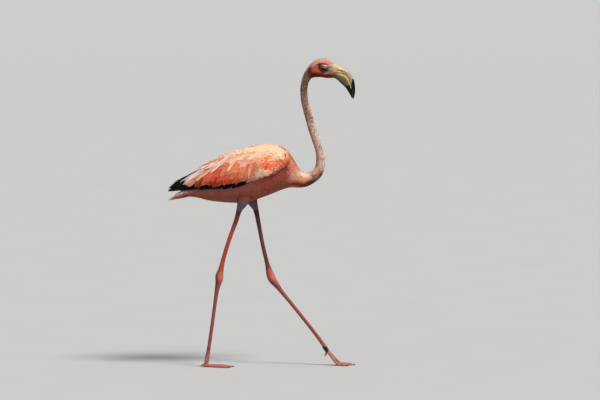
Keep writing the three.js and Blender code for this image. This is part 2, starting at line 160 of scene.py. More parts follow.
# x, upper edge z, lower edge z, distance from the middle plane at the upper edge, the middle and
# the lower edge
WING_LINE = np.array([
    (97, 672, 660, 29, 33, 35),
    (86, 688, 648, 27, 41, 45),
    (66, 699, 635, 29, 52, 56),
    (32, 706, 619, 34, 67, 70),
    (-13, 706.5, 604, 34, 78, 78),
    (-61, 699, 588, 26, 81, 79),
    (-109, 686.5, 579.5, 14, 76, 73),
    (-157, 665, 576.5, 5, 64, 63),
    (-198, 641.5, 576.5, 2, 50, 52),
    (-230, 623.5, 577.5, 1.6, 37, 41),
    (-252, 610, 580, 1.6, 26, 30),
    (-266, 600, 584, 4, 15, 20),
], float)

# x, upper edge z, lower edge z, distance from the middle plane
PRIMARY_LINE = np.array([
    (-56, 593, 582, 71),
    (-84, 600, 573, 68),
    (-122, 604, 568.5, 63),
    (-160, 604, 566.5, 55),
    (-198, 602, 566, 46),
    (-230, 600, 566.5, 35),
    (-258, 602, 564.5, 24),
    (-280, 588, 562.5, 15),
    (-300.5, 570.5, 564.5, 8),
], float)

# x, z, half depth, from the hip to the foot joint
RIGHT_LEG_LINE = np.array([
    (-45, 590, 30),
    (-52, 556, 27),
    (-62, 528, 17.5),
    (-73, 502, 8.8),
    (-82.5, 470, 7.3),
    (-100, 422, 6.7),
    (-112.5, 384, 6.7),
    (-124, 344, 7),
    (-131, 313, 8.6),
    (-135.5, 296, 11.4),
    (-137, 281, 11.6),
    (-140.5, 264, 9),
    (-145, 240, 6.8),
    (-150, 205, 5.9),
    (-157, 153, 5.7),
    (-165, 96, 5.7),
    (-172, 50, 6.2),
    (-176.5, 24, 7.6),
    (-179, 9, 7),
], float)
LEFT_LEG_LINE = np.array([
    (-45, 590, 30),
    (-40, 556, 26),
    (-31, 528, 17),
    (-20.5, 502, 8.8),
    (-12, 461, 7.2),
    (-3, 413, 6.5),
    (5.5, 372, 6.5),
    (15, 333, 7),
    (20.5, 312, 9),
    (25.5, 294, 11.2),
    (33, 276, 11.8),
    (47, 258, 9.2),
    (62.5, 237.5, 6.8),
    (86, 209, 5.9),
    (124.5, 161, 5.7),
    (162.5, 113, 5.7),
    (191, 75, 6.2),
    (202, 58, 7.6),
    (210.5, 45, 7),
], float)
LEG_END = len(RIGHT_LEG_LINE) - 1  # the last station of either leg
LEG_BREADTH = 0.94  # of its depth
THIGH_NARROWING = 0.52
HIP_Y = 36
RIGHT_FOOT_Y = -24
LEFT_FOOT_Y = 36

# ---- Numbers ----


def rail(rows, station):
    """A smooth line through the rows of a table, row i at station i, straight beyond its ends."""
    last = len(rows) - 1
    points = np.array([2 * rows[0] - rows[1], *rows, 2 * rows[-1] - rows[-2]])
    inside = np.clip(station, 0, last)
    first = np.minimum(inside.astype(int), last - 1)
    w = (inside - first)[..., None]
    a, b, c, d = (points[first + i] for i in range(4))
    line = 0.5 * (
        2 * b + (c - a) * w + (2 * a - 5 * b + 4 * c - d) * w**2 + (3 * b - a - 3 * c + d) * w**3
    )
    before = np.minimum(station, 0)[..., None] * (rows[1] - rows[0])
    beyond = np.maximum(station - last, 0)[..., None] * (rows[-1] - rows[-2])
    return line + before + beyond


def smooth(rows, count):
    """The smooth line of a whole table at `count` even stations."""
    return rail(rows, np.linspace(0, len(rows) - 1, count))


def dense(rows):
    """The smooth line of a table at many stations, sorted by its first column."""
    line = smooth(rows, 600)
    return line[np.argsort(line[:, 0])]


def unit(vectors):
    return vectors / np.maximum(np.linalg.norm(vectors, axis=-1, keepdims=True), 1e-12)


def dot(a, b):
    return (a * b).sum(-1, keepdims=True)


def ramp(value, low, high):
    """0 below `low`, 1 above `high`, smooth between; `low` may be the larger one."""
    share = np.clip((value - low) / (high - low), 0, 1)
    return share * share * (3 - 2 * share)


def mix(a, b, share):
    return a + (b - a) * np.asarray(share)[..., None]


def spot(x, z, centre, reach, turn=0.0):
    """A soft oval weight round a centre in the side view, `reach` along and across its axis."""
    cos, sin = math.cos(math.radians(turn)), math.sin(math.radians(turn))
    dx, dz = x - centre[0], z - centre[1]
    along = (dx * cos + dz * sin) / reach[0]
    across = (dz * cos - dx * sin) / reach[1]
    return np.exp(-(along**2 + across**2))


def marked(tint, marks, x, z):
    """Lays soft oval marks over a tint: colour, share, centre, reach and turn of each."""
    for colour, share, centre, reach, turn in marks:
        tint = mix(tint, colour, np.minimum(share * spot(x, z, centre, reach, turn), 1))
    return tint


def layered(tint, *layers):
    """Lays colours over a tint one after another: colour and share of each."""
    for colour, share in layers:
        tint = mix(tint, colour, share)
    return tint


def bell(value, middle, width):
    """1 where a value is `middle`, falling softly to 0 on both sides."""
    return np.exp(-(((value - middle) / width) ** 2))


def turns(count, offset=0.0):
    """Angles of evenly spaced places round a ring."""
    return (np.arange(count) + offset) * 2 * math.pi / count


def side_name(side):
    return "left" if side > 0 else "right"


def grid(rows, columns):
    return np.meshgrid(rows, columns, indexing="ij")


def side_view(point):
    """x and z, in millimetres, of points in metres."""
    return point[..., 0] / MM, point[..., 2] / MM


SUNLIT = 0.88  # share of a colour as seen in the light that the surface itself sends back


def paint(red, green, blue):
    """The linear colour of a surface that looks like this, 0 to 255, in the studio's light."""
    value = np.array([red, green, blue]) / 255
    return SUNLIT * np.where(value <= 0.04045, value / 12.92, ((value + 0.055) / 1.055) ** 2.4)


# ---- Surfaces of the bird. Each takes two parameters and gives points in metres. ----


def body_surface(station, angle):
    """The body's outer form: angle 0 is the back, a quarter turn the left side."""
    row = rail(BODY_LINE, station)
    rise_x = (row[..., 0] - row[..., 2]) / 2
    rise_z = (row[..., 1] - row[..., 3]) / 2
    x = (row[..., 0] + row[..., 2]) / 2 + rise_x * np.cos(angle)
    z = (row[..., 1] + row[..., 3]) / 2 + rise_z * np.cos(angle)
    return np.stack([x, np.maximum(row[..., 4], 2) * np.sin(angle), z], -1) * MM


WING_DENSE = dense(WING_LINE)


def wing_edges(x):
    """Upper and lower edge heights of the folded wing at x, in millimetres."""
    return [np.interp(x, WING_DENSE[:, 0], WING_DENSE[:, i]) for i in (1, 2)]


WING_OVERRUN = 1.25  # how far down the wing's curve runs, as a share of its height
EDGE_INWARD, EDGE_DOWN = 1.2, 0.7  # how feathers over the upper edge turn in and down
WING_LEAST_Y = 0.4


def wing_surface(side):
    """The outer face of a folded wing by x and z in metres; side is 1 for the left wing."""

    def surface(x, z):
        row = [np.interp(x / MM, WING_DENSE[:, 0], WING_DENSE[:, i]) for i in range(1, 6)]
        top_z, bottom_z, top, middle, bottom = row
        beyond = np.maximum(z / MM - top_z, 0)
        t = np.clip((top_z - z / MM) / (top_z - bottom_z), 0, WING_OVERRUN)
        control = 2 * middle - (top + bottom) / 2
        y = (1 - t) ** 2 * top + 2 * t * (1 - t) * control + t**2 * bottom - EDGE_INWARD * beyond
        return np.stack([x, side * np.maximum(y, WING_LEAST_Y) * MM, z - EDGE_DOWN * beyond * MM], -1)

    return surface


PRIMARY_DENSE = dense(PRIMARY_LINE)
PRIMARY_LEAN = 0.12  # how much the sheet leans in with height
PRIMARY_LEAST_Y = 1.5


def primary_surface(side):
    """The sheet in which the folded flight feathers lie, by x and z in metres."""

    def surface(x, z):
        bottom, out = (np.interp(x / MM, PRIMARY_DENSE[:, 0], PRIMARY_DENSE[:, i]) for i in (2, 3))
        y = out - PRIMARY_LEAN * (z / MM - bottom)
        return np.stack([x, side * np.maximum(y, PRIMARY_LEAST_Y) * MM, z], -1)

    return surface


def leg_curve(line, hip_y, foot_y):
    """The table of a leg's centre line: x, y, z and half depth."""
    y = foot_y + (hip_y - foot_y) * line[:, 1] / line[0, 1]
    return np.column_stack([line[:, 0], y, line[:, 1], line[:, 2]])


LEG_CURVES = {
    "right": leg_curve(RIGHT_LEG_LINE, -HIP_Y, RIGHT_FOOT_Y),
    "left": leg_curve(LEFT_LEG_LINE, HIP_Y, LEFT_FOOT_Y),
}


def leg_surface(side):
    """A leg's outer form: angle 0 faces forward, a quarter turn the bird's left."""
    curve = LEG_CURVES[side]

    def surface(station, angle):
        row = rail(curve, station)
        along = unit((rail(curve, station + 0.01) - rail(curve, station - 0.01))[..., :3])
        fore = unit(np.stack([-along[..., 2], 0 * angle, along[..., 0]], -1))
        half = row[..., 3:]
        breadth = LEG_BREADTH * (1 - THIGH_NARROWING * ramp(station, 2.2, 0.9))
        point = row[..., :3] + fore * half * np.cos(angle)[..., None]
        point[..., 1] += half[..., 0] * breadth * np.sin(angle)
        return point * MM

    return surface


STEP = 1e-3  # in a surface's parameters, for its derivatives


def frames(surface, u, v):
    """Points of a surface with its two derivatives and its unit normal (not yet turned outward)."""
    along = (surface(u + STEP, v) - surface(u - STEP, v)) / (2 * STEP)
    across = (surface(u, v + STEP) - surface(u, v - STEP)) / (2 * STEP)
    return surface(u, v), along, across, unit(np.cross(along, across))


def steps_for(along, across, move):
    """The parameter steps that move a surface point by a small tangent vector."""
    e, f, g = dot(along, along), dot(along, across), dot(across, across)
    p, q = dot(along, move), dot(across, move)
    det = np.maximum(e * g - f * f, 1e-18)
    return ((g * p - f * q) / det)[..., 0], ((e * q - f * p) / det)[..., 0]


# ---- Meshes and objects ----


def make_object(name, points, faces, tint=None, uv=None, numbers=None, sharp=None):
    """An object from numpy arrays. `faces` is a list of index arrays, all triangles or quads."""
    mesh = bpy.data.meshes.new(name)
    corners = np.concatenate([part.reshape(-1) for part in faces]).astype(np.int32)
    sizes = np.concatenate([np.full(len(part), part.shape[1]) for part in faces])
    mesh.vertices.add(len(points))
    mesh.vertices.foreach_set("co", points.astype(np.float32).reshape(-1))
    mesh.loops.add(len(corners))
    mesh.loops.foreach_set("vertex_index", corners)
    mesh.polygons.add(len(sizes))
    starts = np.concatenate([[0], np.cumsum(sizes)[:-1]]).astype(np.int32)
    mesh.polygons.foreach_set("loop_start", starts)
    mesh.polygons.foreach_set("use_smooth", np.ones(len(sizes), bool))
    mesh.update(calc_edges=True)
    for layer, values in (uv or {}).items():
        corner_values = values if len(values) == len(corners) else values[corners]
        uv_layer = mesh.uv_layers.new(name=layer)
        uv_layer.uv.foreach_set("vector", corner_values.astype(np.float32).reshape(-1))
    if tint is not None:
        colours = np.ones((len(points), 4), np.float32)
        colours[:, :3] = np.clip(tint, 0, 1)
        layer = mesh.color_attributes.new("Tint", "FLOAT_COLOR", "POINT")
        layer.data.foreach_set("color", colours.reshape(-1))
    for layer, values in (numbers or {}).items():
        attribute = mesh.attributes.new(layer, "FLOAT", "POINT")
        attribute.data.foreach_set("value", values.astype(np.float32))
    if sharp is not None:
        ends = np.zeros(len(mesh.edges) * 2, np.int32)
        mesh.edges.foreach_get("vertices", ends)
        ends = ends.reshape(-1, 2)
        attribute = mesh.attributes.new("sharp_edge", "BOOLEAN", "EDGE")
        attribute.data.foreach_set("value", sharp[ends[:, 0]] & sharp[ends[:, 1]])
    mesh.validate()
    piece = bpy.data.objects.new(name, mesh)
    bpy.context.scene.collection.objects.link(piece)
    return piece


def finish_piece(piece, slot, material, replaced=()):
    """Gives a piece its material and body, and hides the solids it stands for; `slot` is not used."""
    piece.data.materials.append(material)
    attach(piece, "root")
    if replaced:
        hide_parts(*replaced)


def grid_faces(rows, columns):
    """Quads of a grid of points, row by row, with its last column joined to its first."""
    r, c = grid(np.arange(rows - 1), np.arange(columns))
    here, beside = (r * columns + place for place in (c, (c + 1) % columns))
    return np.stack([here, beside, beside + columns, here + columns], -1).reshape(-1, 4)


def cap_faces(ring, flip=False):
    """Quads that close a ring of an even number of points."""
    half = len(ring) // 2
    i = np.arange(half - 1)
    quads = np.column_stack([ring[i], ring[i + 1], ring[-2 - i], ring[-1 - i]])
    return quads[:, ::-1] if flip else quads


def closed_grid(rows, columns):
    """Quads of a grid of points closed into a ring, and closed at its first and its last row."""
    ring = np.arange(columns)
    return np.concatenate([
        grid_faces(rows, columns), cap_faces(ring, flip=True), cap_faces(ring + (rows - 1) * columns),
    ])


def numbered_on(parts):
    """The faces of several parts, (points, faces), each counted on from the points before it."""
    starts = np.cumsum([0] + [len(points) for points, _ in parts])
    return [faces + start for (_, faces), start in zip(parts, starts)]


def merged(parts):
    """One body from several, each (points, faces)."""
    return np.concatenate([points for points, _ in parts]), np.concatenate(numbered_on(parts))


# ---- Vanes: every feather is one thin closed strip that follows the surface it grows from ----

# rows: share of the length; wide: share of the half width there; columns across, -1 to 1;
# fray: how far each column may stop short of the tip, as a share of the length
SMALL_VANE = {
    "rows": np.array([0, 0.36, 0.74, 1.0]),
    "wide": np.array([0.5, 1.0, 0.86, 0.22]),
    "columns": np.array([-1.0, 0.0, 1.0]),
    "fray": np.array([0.2, 0.0, 0.2]),
}
BODY_VANE = {
    "rows": np.array([0, 0.24, 0.5, 0.74, 0.9, 1.0]),
    "wide": np.array([0.4, 0.82, 1.0, 0.92, 0.68, 0.42]),
    "columns": np.array([-1.0, -0.67, -0.33, 0.0, 0.33, 0.67, 1.0]),
    "fray": np.array([0.16, 0.02, 0.11, 0.0, 0.1, 0.02, 0.16]),
}
LONG_VANE = {
    "rows": np.array([0, 0.12, 0.28, 0.45, 0.62, 0.78, 0.89, 0.96, 1.0]),
    "wide": np.array([0.3, 0.68, 0.9, 1.0, 1.0, 0.92, 0.74, 0.52, 0.26]),
    "columns": np.array([-1.0, -0.66, -0.3, 0.0, 0.3, 0.66, 1.0]),
    "fray": np.array([0.05, 0.0, 0.035, 0.0, 0.03, 0.0, 0.05]),
}
POINTED_VANE = {
    "rows": np.array([0, 0.1, 0.25, 0.42, 0.58, 0.73, 0.85, 0.94, 1.0]),
    "wide": np.array([0.35, 0.7, 0.92, 1.0, 0.96, 0.82, 0.6, 0.34, 0.08]),
    "columns": np.array([-1.0, -0.6, -0.25, 0.0, 0.35, 0.7, 1.0]),
    "fray": np.zeros(7),
}
TUFT_PATCH = 0.003  # width of a feather's patch on the baking map
VANE_UNIT = 100  # millimetres to one unit of the Vane map
FRAYING = (7e3, 5e3, 2.1)  # turns a root's place and a column into that column's own fraying


def vane_faces(rows, columns):
    """Triangles of one vane: its face, its underside between the two edges, and its ends."""
    at = np.arange(rows * columns).reshape(rows, columns)
    quads = []
    for r in range(rows - 1):
        for c in range(columns - 1):
            quads.append((at[r, c], at[r + 1, c], at[r + 1, c + 1], at[r, c + 1]))
        quads.append((at[r, 0], at[r, -1], at[r + 1, -1], at[r + 1, 0]))
    triangles = [t for a, b, c, d in quads for t in ((a, b, c), (a, c, d))]
    for c in range(1, columns - 1):
        triangles.append((at[0, 0], at[0, c], at[0, c + 1]))
        triangles.append((at[-1, 0], at[-1, c + 1], at[-1, c]))
    return np.array(triangles)


def grow(surface, outward, tract, kind):
    """Vanes of one kind on a surface. `tract` holds one value for each feather:
    u, v        the root, in the surface's parameters
    way         its run from root to tip, in the surface's parameters, or else
    heading     the direction in which it lies, before it is laid along the surface
    length, width, low, high    sizes in metres; low and high are heights of root and tip
    turn        its own turn in the surface, and `bend`, how much that grows to the tip
    tint, edge  colours of its middle and of its tip and edges
    map         the root's place on the baking map, 0 to 1
    """
    rows, wide, columns = kind["rows"], kind["wide"], kind["columns"]
    count = len(tract["u"])
    u, v = tract["u"].astype(float), tract["v"].astype(float)
    length, width = tract["length"], tract["width"]
    camber = tract.get("camber", 0.05)
    bow = tract.get("bow", 0.35)
    points = np.zeros((count, len(rows), len(columns), 3))
    for k, share in enumerate(rows):
        _, along, across, normal = frames(surface, u, v)
        angle = tract["turn"] + tract.get("bend", 0) * share
        if "way" in tract:
            way_u = tract["way"][:, 0] * np.cos(angle) - tract["way"][:, 1] * np.sin(angle)
            way_v = tract["way"][:, 1] * np.cos(angle) + tract["way"][:, 0] * np.sin(angle)
            if k:
                u, v = u + way_u * (share - rows[k - 1]), v + way_v * (share - rows[k - 1])
                _, along, across, normal = frames(surface, u, v)
            normal = normal * outward
            direction = unit(along * way_u[:, None] + across * way_v[:, None])
        else:
            if k:
                move = direction * ((share - rows[k - 1]) * length)[:, None]
                du, dv = steps_for(along, across, move)
                u, v = u + du, v + dv
                _, along, across, normal = frames(surface, u, v)
            normal = normal * outward
            direction = unit(tract["heading"] - dot(tract["heading"], normal) * normal)
            angle = angle[:, None]
            direction = direction * np.cos(angle) + np.cross(normal, direction) * np.sin(angle)
        sideways = np.cross(normal, direction)
        height = tract["low"] + (tract["high"] - tract["low"]) * share ** tract.get("rise", 0.35)
        height = height + tract.get("curl", 0) * share**3
        for c, place in enumerate(columns):
            reach = place * width / 2 * wide[k]
            phase = FRAYING[0] * tract["u"] + FRAYING[1] * tract["v"] + FRAYING[2] * c
            chance = 0.5 + 0.5 * np.sin(phase)
            notch = kind["fray"][c] * chance * length * share**8
            back = -bow * width * place**2 * share**6 * 0.6 - notch
            move = sideways * reach[:, None] + direction * back[:, None]
            du, dv = steps_for(along, across, move)
            arch = camber * width * (1 - place**2) * (1 - 0.55 * share**3)
            spread = surface(u + du, v + dv)
            points[:, k, c] = spread + normal * (height + arch)[:, None]
    each = len(rows) * len(columns)
    faces = vane_faces(len(rows), len(columns))
    triangles = (faces[None] + each * np.arange(count)[:, None, None]).reshape(-1, 3)
    share = np.broadcast_to(rows[None, :, None], (count, len(rows), len(columns)))
    place = np.broadcast_to(columns[None, None, :], share.shape)
    side = np.abs(place)
    rim = ramp(share, 0.62, 1.0) * 0.8 + ramp(side, 0.45, 1.0) * ramp(share, 0.1, 0.6) * 0.6
    rim = np.clip(rim, 0, 1) * tract.get("rim", 1.0)
    tint = mix(tract["tint"][:, None, None], tract["edge"][:, None, None], rim)
    shaft = tract.get("shaft", 0.0) * (1 - ramp(side, 0.0, 0.3))
    # darker towards the root, where the next feathers overlap: partly the feathers' darker bases, partly
    # painted shade
    base = tract.get("base", 0.34) * ramp(share, 0.72, 0.3)
    vane = np.stack([share * length[:, None, None], place * width[:, None, None] / 2], -1) / MM / VANE_UNIT
    patch = np.stack([share - 0.5, place / 2], -1) * TUFT_PATCH
    root_map = np.clip(tract["map"], 0.004, 0.996)[:, None, None]
    return {
        "points": points.reshape(-1, 3),
        "faces": triangles,
        "tint": (tint * (1 + (shaft - base)[..., None])).reshape(-1, 3),
        "vane": vane.reshape(-1, 2),
        "bake": (root_map + patch).reshape(-1, 2),
        "rim": ((side > 0.99) | (share < 0.01) | (share > 0.99)).reshape(-1),
    }


def coat(name, slot, look, clumps, replaced=()):
    """One piece of plumage from the vanes of several tracts; `look` goes to its material."""
    faces = numbered_on([(clump["points"], clump["faces"]) for clump in clumps])
    keys = ("points", "tint", "vane", "bake", "rim")
    points, tint, vane, bake, rim = (np.concatenate([clump[key] for clump in clumps]) for key in keys)
    uv = {"OFBake": bake, "Vane": vane}
    piece = make_object(name, points, [np.concatenate(faces)], tint=tint, uv=uv, sharp=rim)
    finish_piece(piece, slot, feather_material(name, *look), replaced)


# ---- Colours of the bird ----

PEACH_PALE = paint(250, 208, 173)
PEACH = paint(248, 184, 146)
SALMON = paint(218, 126, 90)
ORANGE = paint(226, 118, 70)
ORANGE_RED = paint(222, 76, 36)
DEEP_RED = paint(168, 40, 10)
# painted shade under the lowest coverts
COVERT_UNDER_SHADE = paint(104, 30, 10)
RED = paint(246, 66, 40)
RED_ORANGE = paint(240, 96, 54)
ROSE_BROWN = paint(184, 106, 86)
ORANGE_BROWN = paint(158, 62, 24)
PALE_GREEN = paint(204, 196, 160)
CREAM_WHITE = paint(250, 226, 204)
ROSE_WHITE = paint(252, 216, 200)
LILAC_WHITE = paint(218, 194, 206)
LILAC_DUSK = paint(192, 146, 136)
FLANK_LILAC = paint(128, 92, 98)
FLANK_ROSE = paint(166, 90, 76)
FLANK_RED = paint(154, 58, 46)
# painted shade: the dark browns of the belly, also used on the undersides of thigh and tail
BELLY_SHADE_BROWN = paint(148, 78, 52)
BELLY_SHADE_ORANGE = paint(136, 76, 44)
UNDER_TAIL = paint(182, 114, 94)
BREAST_ORANGE = paint(226, 116, 78)
NECK_SALMON = paint(236, 158, 130)
NECK_PINK = paint(232, 166, 150)
# painted highlight of the neck's inner curve
NECK_HIGHLIGHT = paint(250, 228, 200)
NECK_ROSE = paint(196, 120, 112)
NECK_BEIGE = paint(222, 188, 174)
NECK_WHITE = paint(238, 216, 212)
NECK_EDGE = paint(222, 168, 154)
NECK_BROWN = paint(154, 114, 92)
NECK_SHADED_BROWN = paint(126, 82, 60)
NECK_OLIVE = paint(196, 168, 118)
RUST_DARK = paint(150, 64, 44)
NECK_UNDER_SHADE = paint(112, 54, 38)
SPECK_GREY = paint(128, 104, 94)
SPECK_BROWN = paint(92, 54, 32)
THIGH_SHADE_GREY = paint(110, 88, 96)
FLIGHT_BLACK = paint(10, 8, 9)

CROWN = paint(222, 172, 158)
CROWN_ORANGE = paint(228, 128, 86)
BROW_ORANGE = paint(226, 146, 92)
BROW_BROWN = paint(160, 70, 30)
CHEEK_RED = paint(200, 76, 60)
CHEEK_ROSE = paint(206, 108, 94)
CHEEK_DARK = paint(102, 32, 14)
EYE_RING = paint(190, 160, 118)
EYE_BROWN = paint(74, 28, 2)
LORE_BLACK = paint(18, 17, 6)
LORE_GREEN = paint(34, 66, 42)
LORE_GREY = paint(134, 146, 108)
LORE_TAN = paint(184, 156, 112)
LORE_PINK = paint(216, 174, 148)
GAPE_LILAC = paint(190, 130, 122)
THROAT_BROWN = paint(92, 38, 8)
THROAT_RUST = paint(126, 40, 0)
THROAT_SHADE = paint(48, 26, 20)
# painted highlight: pale lilac along the nape's outline, the back of the upper neck and the neck's inner
# curve
LILAC_HIGHLIGHT = paint(196, 174, 174)
NAPE_DARK = paint(88, 42, 20)
HEAD_ROSE = paint(140, 66, 46)

LEG_ROSE = paint(154, 72, 66)
LEG_ORANGE = paint(176, 70, 46)
# painted light of the legs: a highlight on the ankle, and shade on the shins and backs
ANKLE_HIGHLIGHT = paint(208, 108, 88)
LEG_SHADE = paint(88, 32, 34)
FOOT_ROSE = paint(184, 112, 98)
FOOT_BLACK = paint(22, 17, 18)
CLAW_BROWN = paint(70, 52, 50)
CLAW_BLACK = paint(34, 26, 26)

HEAD_MARKS = [
    (CROWN_ORANGE, 0.7, (209, 976), (12, 5), -14),
    (BROW_BROWN, 1.6, (203, 970), (15, 3.6), -8),
    (BROW_ORANGE, 0.9, (176, 974), (8, 5), 30),
    (THROAT_BROWN, 1.6, (172, 934), (24, 7), 0),
    # painted shadow where the chin meets the neck
    (NAPE_DARK, 1.7, (150, 934), (12, 12), 30),
    (NAPE_DARK, 2.0, (155, 949), (5, 14), -12),
    (THROAT_RUST, 1.2, (212, 931), (20, 5.5), 0),
    (CHEEK_RED, 1.4, (173, 958), (11, 9), 0),
    (CHEEK_ROSE, 1.6, (181, 947), (12, 5), -20),
    (CHEEK_DARK, 1.0, (174, 940.5), (16, 2), 0),
    (EYE_BROWN, 2.4, (189, 962), (5, 8), -10),
    (EYE_BROWN, 1.2, (184, 969), (8, 3.4), 20),
    (CHEEK_DARK, 1.8, (198, 946), (5.5, 8), 35),
    (CHEEK_DARK, 0.9, (156, 952), (3, 9), -10),
    (EYE_RING, 1.0, (200.5, 963), (6.5, 5), 0),
    (LORE_BLACK, 1.9, (202, 953.5), (9, 4.6), -8),
    (LORE_BLACK, 1.3, (208, 948), (5, 3), 0),
    (LORE_GREEN, 1.4, (211, 955.5), (6, 4), 0),
    (LORE_GREY, 1.3, (219, 955), (6, 5), 0),
    (LORE_TAN, 1.4, (227, 952), (5, 13), 0),
    (LORE_PINK, 1.0, (221, 968), (12, 4), -22),
    (GAPE_LILAC, 1.3, (211, 941.5), (11, 3.6), 8),
]


BLOTCH_WAVES = 10


def blotches(point, size, seed, low=0.9, high=1.5):
    """Soft irregular spots, 0 to 1, about half of `size` mm wide, at points in metres."""
    rng = np.random.default_rng(seed)
    waves = unit(rng.normal(size=(BLOTCH_WAVES, 3))) * 2 * math.pi / (size * MM)
    phases = rng.uniform(0, 2 * math.pi, BLOTCH_WAVES)
    height = np.cos(point @ waves.T + phases).sum(-1) / math.sqrt(BLOTCH_WAVES / 2)
    return ramp(height, low, high)


NAPE_LINE = ([930, 950, 966, 988], [131, 141, 158, 190])  # z and x of the nape's outline


def head_tint(x, z):
    """Markings of the head in the side view, in millimetres, with a painted highlight along the nape and
    painted shadow under the chin.
    """
    tint = mix(HEAD_ROSE, CROWN, ramp(z, 956, 968))
    # painted highlight: pale lilac along the nape's outline
    rim = x + (z - 940) * 0.25 - np.interp(z, *NAPE_LINE)
    tint = mix(tint, LILAC_HIGHLIGHT, ramp(rim, 9, 3) * ramp(z, 990, 976))
    return marked(tint, HEAD_MARKS, x, z)


BODY_MARKS = [
    # painted highlight: a pale lilac line along the body's upper edge under the wing
    (LILAC_WHITE, 1.6, (-236, 571), (26, 5), 4),
    (FLANK_LILAC, 1.2, (-165, 571), (70, 5), -1),
    # painted shade: the belly's darker brown-orange underneath
    (BELLY_SHADE_ORANGE, 1.0, (-160, 541), (60, 9), -6),
    (BELLY_SHADE_ORANGE, 0.8, (10, 552), (60, 7), 12),
    (FLANK_RED, 0.8, (60, 612), (30, 20), 28),
    (UNDER_TAIL, 0.5, (-38, 588), (26, 7), 14),
    # painted shadow: dark grey at the body's lower outline before the thigh
    (FLANK_LILAC, 1.0, (-74, 539), (22, 7), 0),
]
NECK_MARKS = [
    (NECK_PINK, 0.9, (114, 610), (16, 10), 0),
    # painted highlight on the inner top of the neck's curve
    (NECK_HIGHLIGHT, 1.3, (142, 617), (15, 7), 0),
    # painted shade: dark rust along the underside of the neck's lower curve
    (RUST_DARK, 1.4, (126, 583), (40, 8), 0),
    (RUST_DARK, 1.4, (174, 597), (15, 9), 42),
    (NECK_UNDER_SHADE, 1.6, (160, 593), (24, 8), 36),
    (FLANK_RED, 0.9, (88, 630), (9, 18), 0),
    (BREAST_ORANGE, 1.4, (104, 646), (8, 22), 10),
    # painted highlights: a pale rim along the inner curve, and a pale patch on it
    (NECK_WHITE, 1.0, (158, 630), (11, 5), 38),
    (NECK_HIGHLIGHT, 0.8, (147, 622), (8, 6), 20),
    (SPECK_GREY, 1.5, (175, 616), (10, 9), -20),
    (SPECK_BROWN, 1.0, (192, 624), (8, 18), -20),
    # painted highlight on the neck's inner curve
    (LILAC_HIGHLIGHT, 1.0, (163, 632), (7, 8), 0),
    # painted highlight: a pale strip along the neck's front edge
    (NECK_WHITE, 1.2, (202, 664), (4, 26), 0),
    (NECK_OLIVE, 1.0, (152, 793), (7, 10), -10),
    (RUST_DARK, 0.8, (149, 768), (5, 10), 0),
]


def neck_tint(up, point):
    """Rosy behind, pale with dark specks in front, brown towards the head; partly painted light, with
    painted highlights and painted shade among the marks.
    """
    x, z = side_view(point)
    tint = layered(
        mix(NECK_SALMON, NECK_BEIGE, ramp(z, 626, 650)),
        # paler in front and rosier behind: partly the plumage's own tones, partly painted light
        (NECK_ROSE, 0.8 * ramp(z, 640, 656) * ramp(z, 790, 770) * ramp(up, 0.1, 0.75)),
        (NECK_WHITE, ramp(z, 630, 650) * ramp(z, 800, 780) * ramp(up, -0.5, -0.9)),
        # brown towards the head: partly the plumage's brown, partly painted shade of the head
        (NECK_BROWN, 0.85 * ramp(z, 776, 804)),
        # paler in front: partly the plumage's own tone, partly painted light
        (NECK_EDGE, ramp(z, 788, 804) * ramp(z, 874, 862) * ramp(up, -0.4, -0.8)),
        # darker brown by the head: partly painted shade of the head
        (NECK_SHADED_BROWN, ramp(z, 858, 892)),
        # painted highlight: pale lilac on the back of the upper neck
        (LILAC_HIGHLIGHT, 0.8 * ramp(z, 862, 884) * ramp(up, 0.6, 0.92)),
        # painted shade under the chin
        (THROAT_SHADE, ramp(z, 894, 914) * ramp(up, 0.0, -0.7)),
    )
    return layered(
        marked(tint, NECK_MARKS, x, z),
        (SPECK_GREY, 0.9 * blotches(point, 7.5, 3, 0.3, 1.0) * ramp(z, 602, 632) * ramp(up, 0.7, 0.1)),
        (SPECK_BROWN, 0.65 * blotches(point, 11, 4, 0.2, 1.2) * ramp(z, 764, 800)),
        (NECK_WHITE, 0.35 * blotches(point, 8, 5) * ramp(z, 596, 612)),
    )


def body_tint(station, angle, point):
    """Markings of the body, neck and head at `point`, which may lie a little off its own place, with
    painted light and shade among them.
    """
    x, z = side_view(point)
    up = np.cos(angle)
    tint = layered(
        # the dark brown underneath is painted shade; the tones grow paler towards the back
        mix(BELLY_SHADE_BROWN, FLANK_ROSE, ramp(up, -0.95, -0.4)),
        (FLANK_RED, 0.45 * blotches(point, 34, 7, 0.2, 1.4)),
        (PEACH, ramp(up, 0.0, 0.55)),
        (PEACH_PALE, ramp(up, 0.5, 0.85)),
        (UNDER_TAIL, ramp(station, 5.0, 2.6) * ramp(up, -0.7, 0.1) * ramp(up, 0.85, 0.5)),
    )
    fore = np.maximum(ramp(x, 64, 82), ramp(up, 0.8, 0.3))
    tint = layered(
        marked(tint, BODY_MARKS, x, z),
        (BREAST_ORANGE, 0.9 * ramp(station, 9.6, 11) * ramp(z, 618, 656) * fore),
        (neck_tint(up, point), ramp(station, 12.0, 13.6)),
        (FLANK_RED, 0.9 * np.minimum(1, 1.4 * spot(x, z, (88, 634), (8, 22)))),
        (head_tint(x, z), ramp(station, 27.2, 28.8)),
    )
    return tint * (1 - 0.22 * ramp(station, 11, 14) * blotches(point, 7, 6, 0.0, 1.4))[..., None]


# ---- Depth of the coat and the forms of the bare head ----

COAT_DEPTHS = ([0, 4, 12, 15, 19, 27, 29, 31, 33], [6, 6.5, 6.5, 5, 3, 2.4, 1.3, 0.9, 0.5])  # stations, mm


def coat_depth(station):
    """How far the skin lies under the tips of the coat, in metres."""
    return np.interp(station, *COAT_DEPTHS) * MM


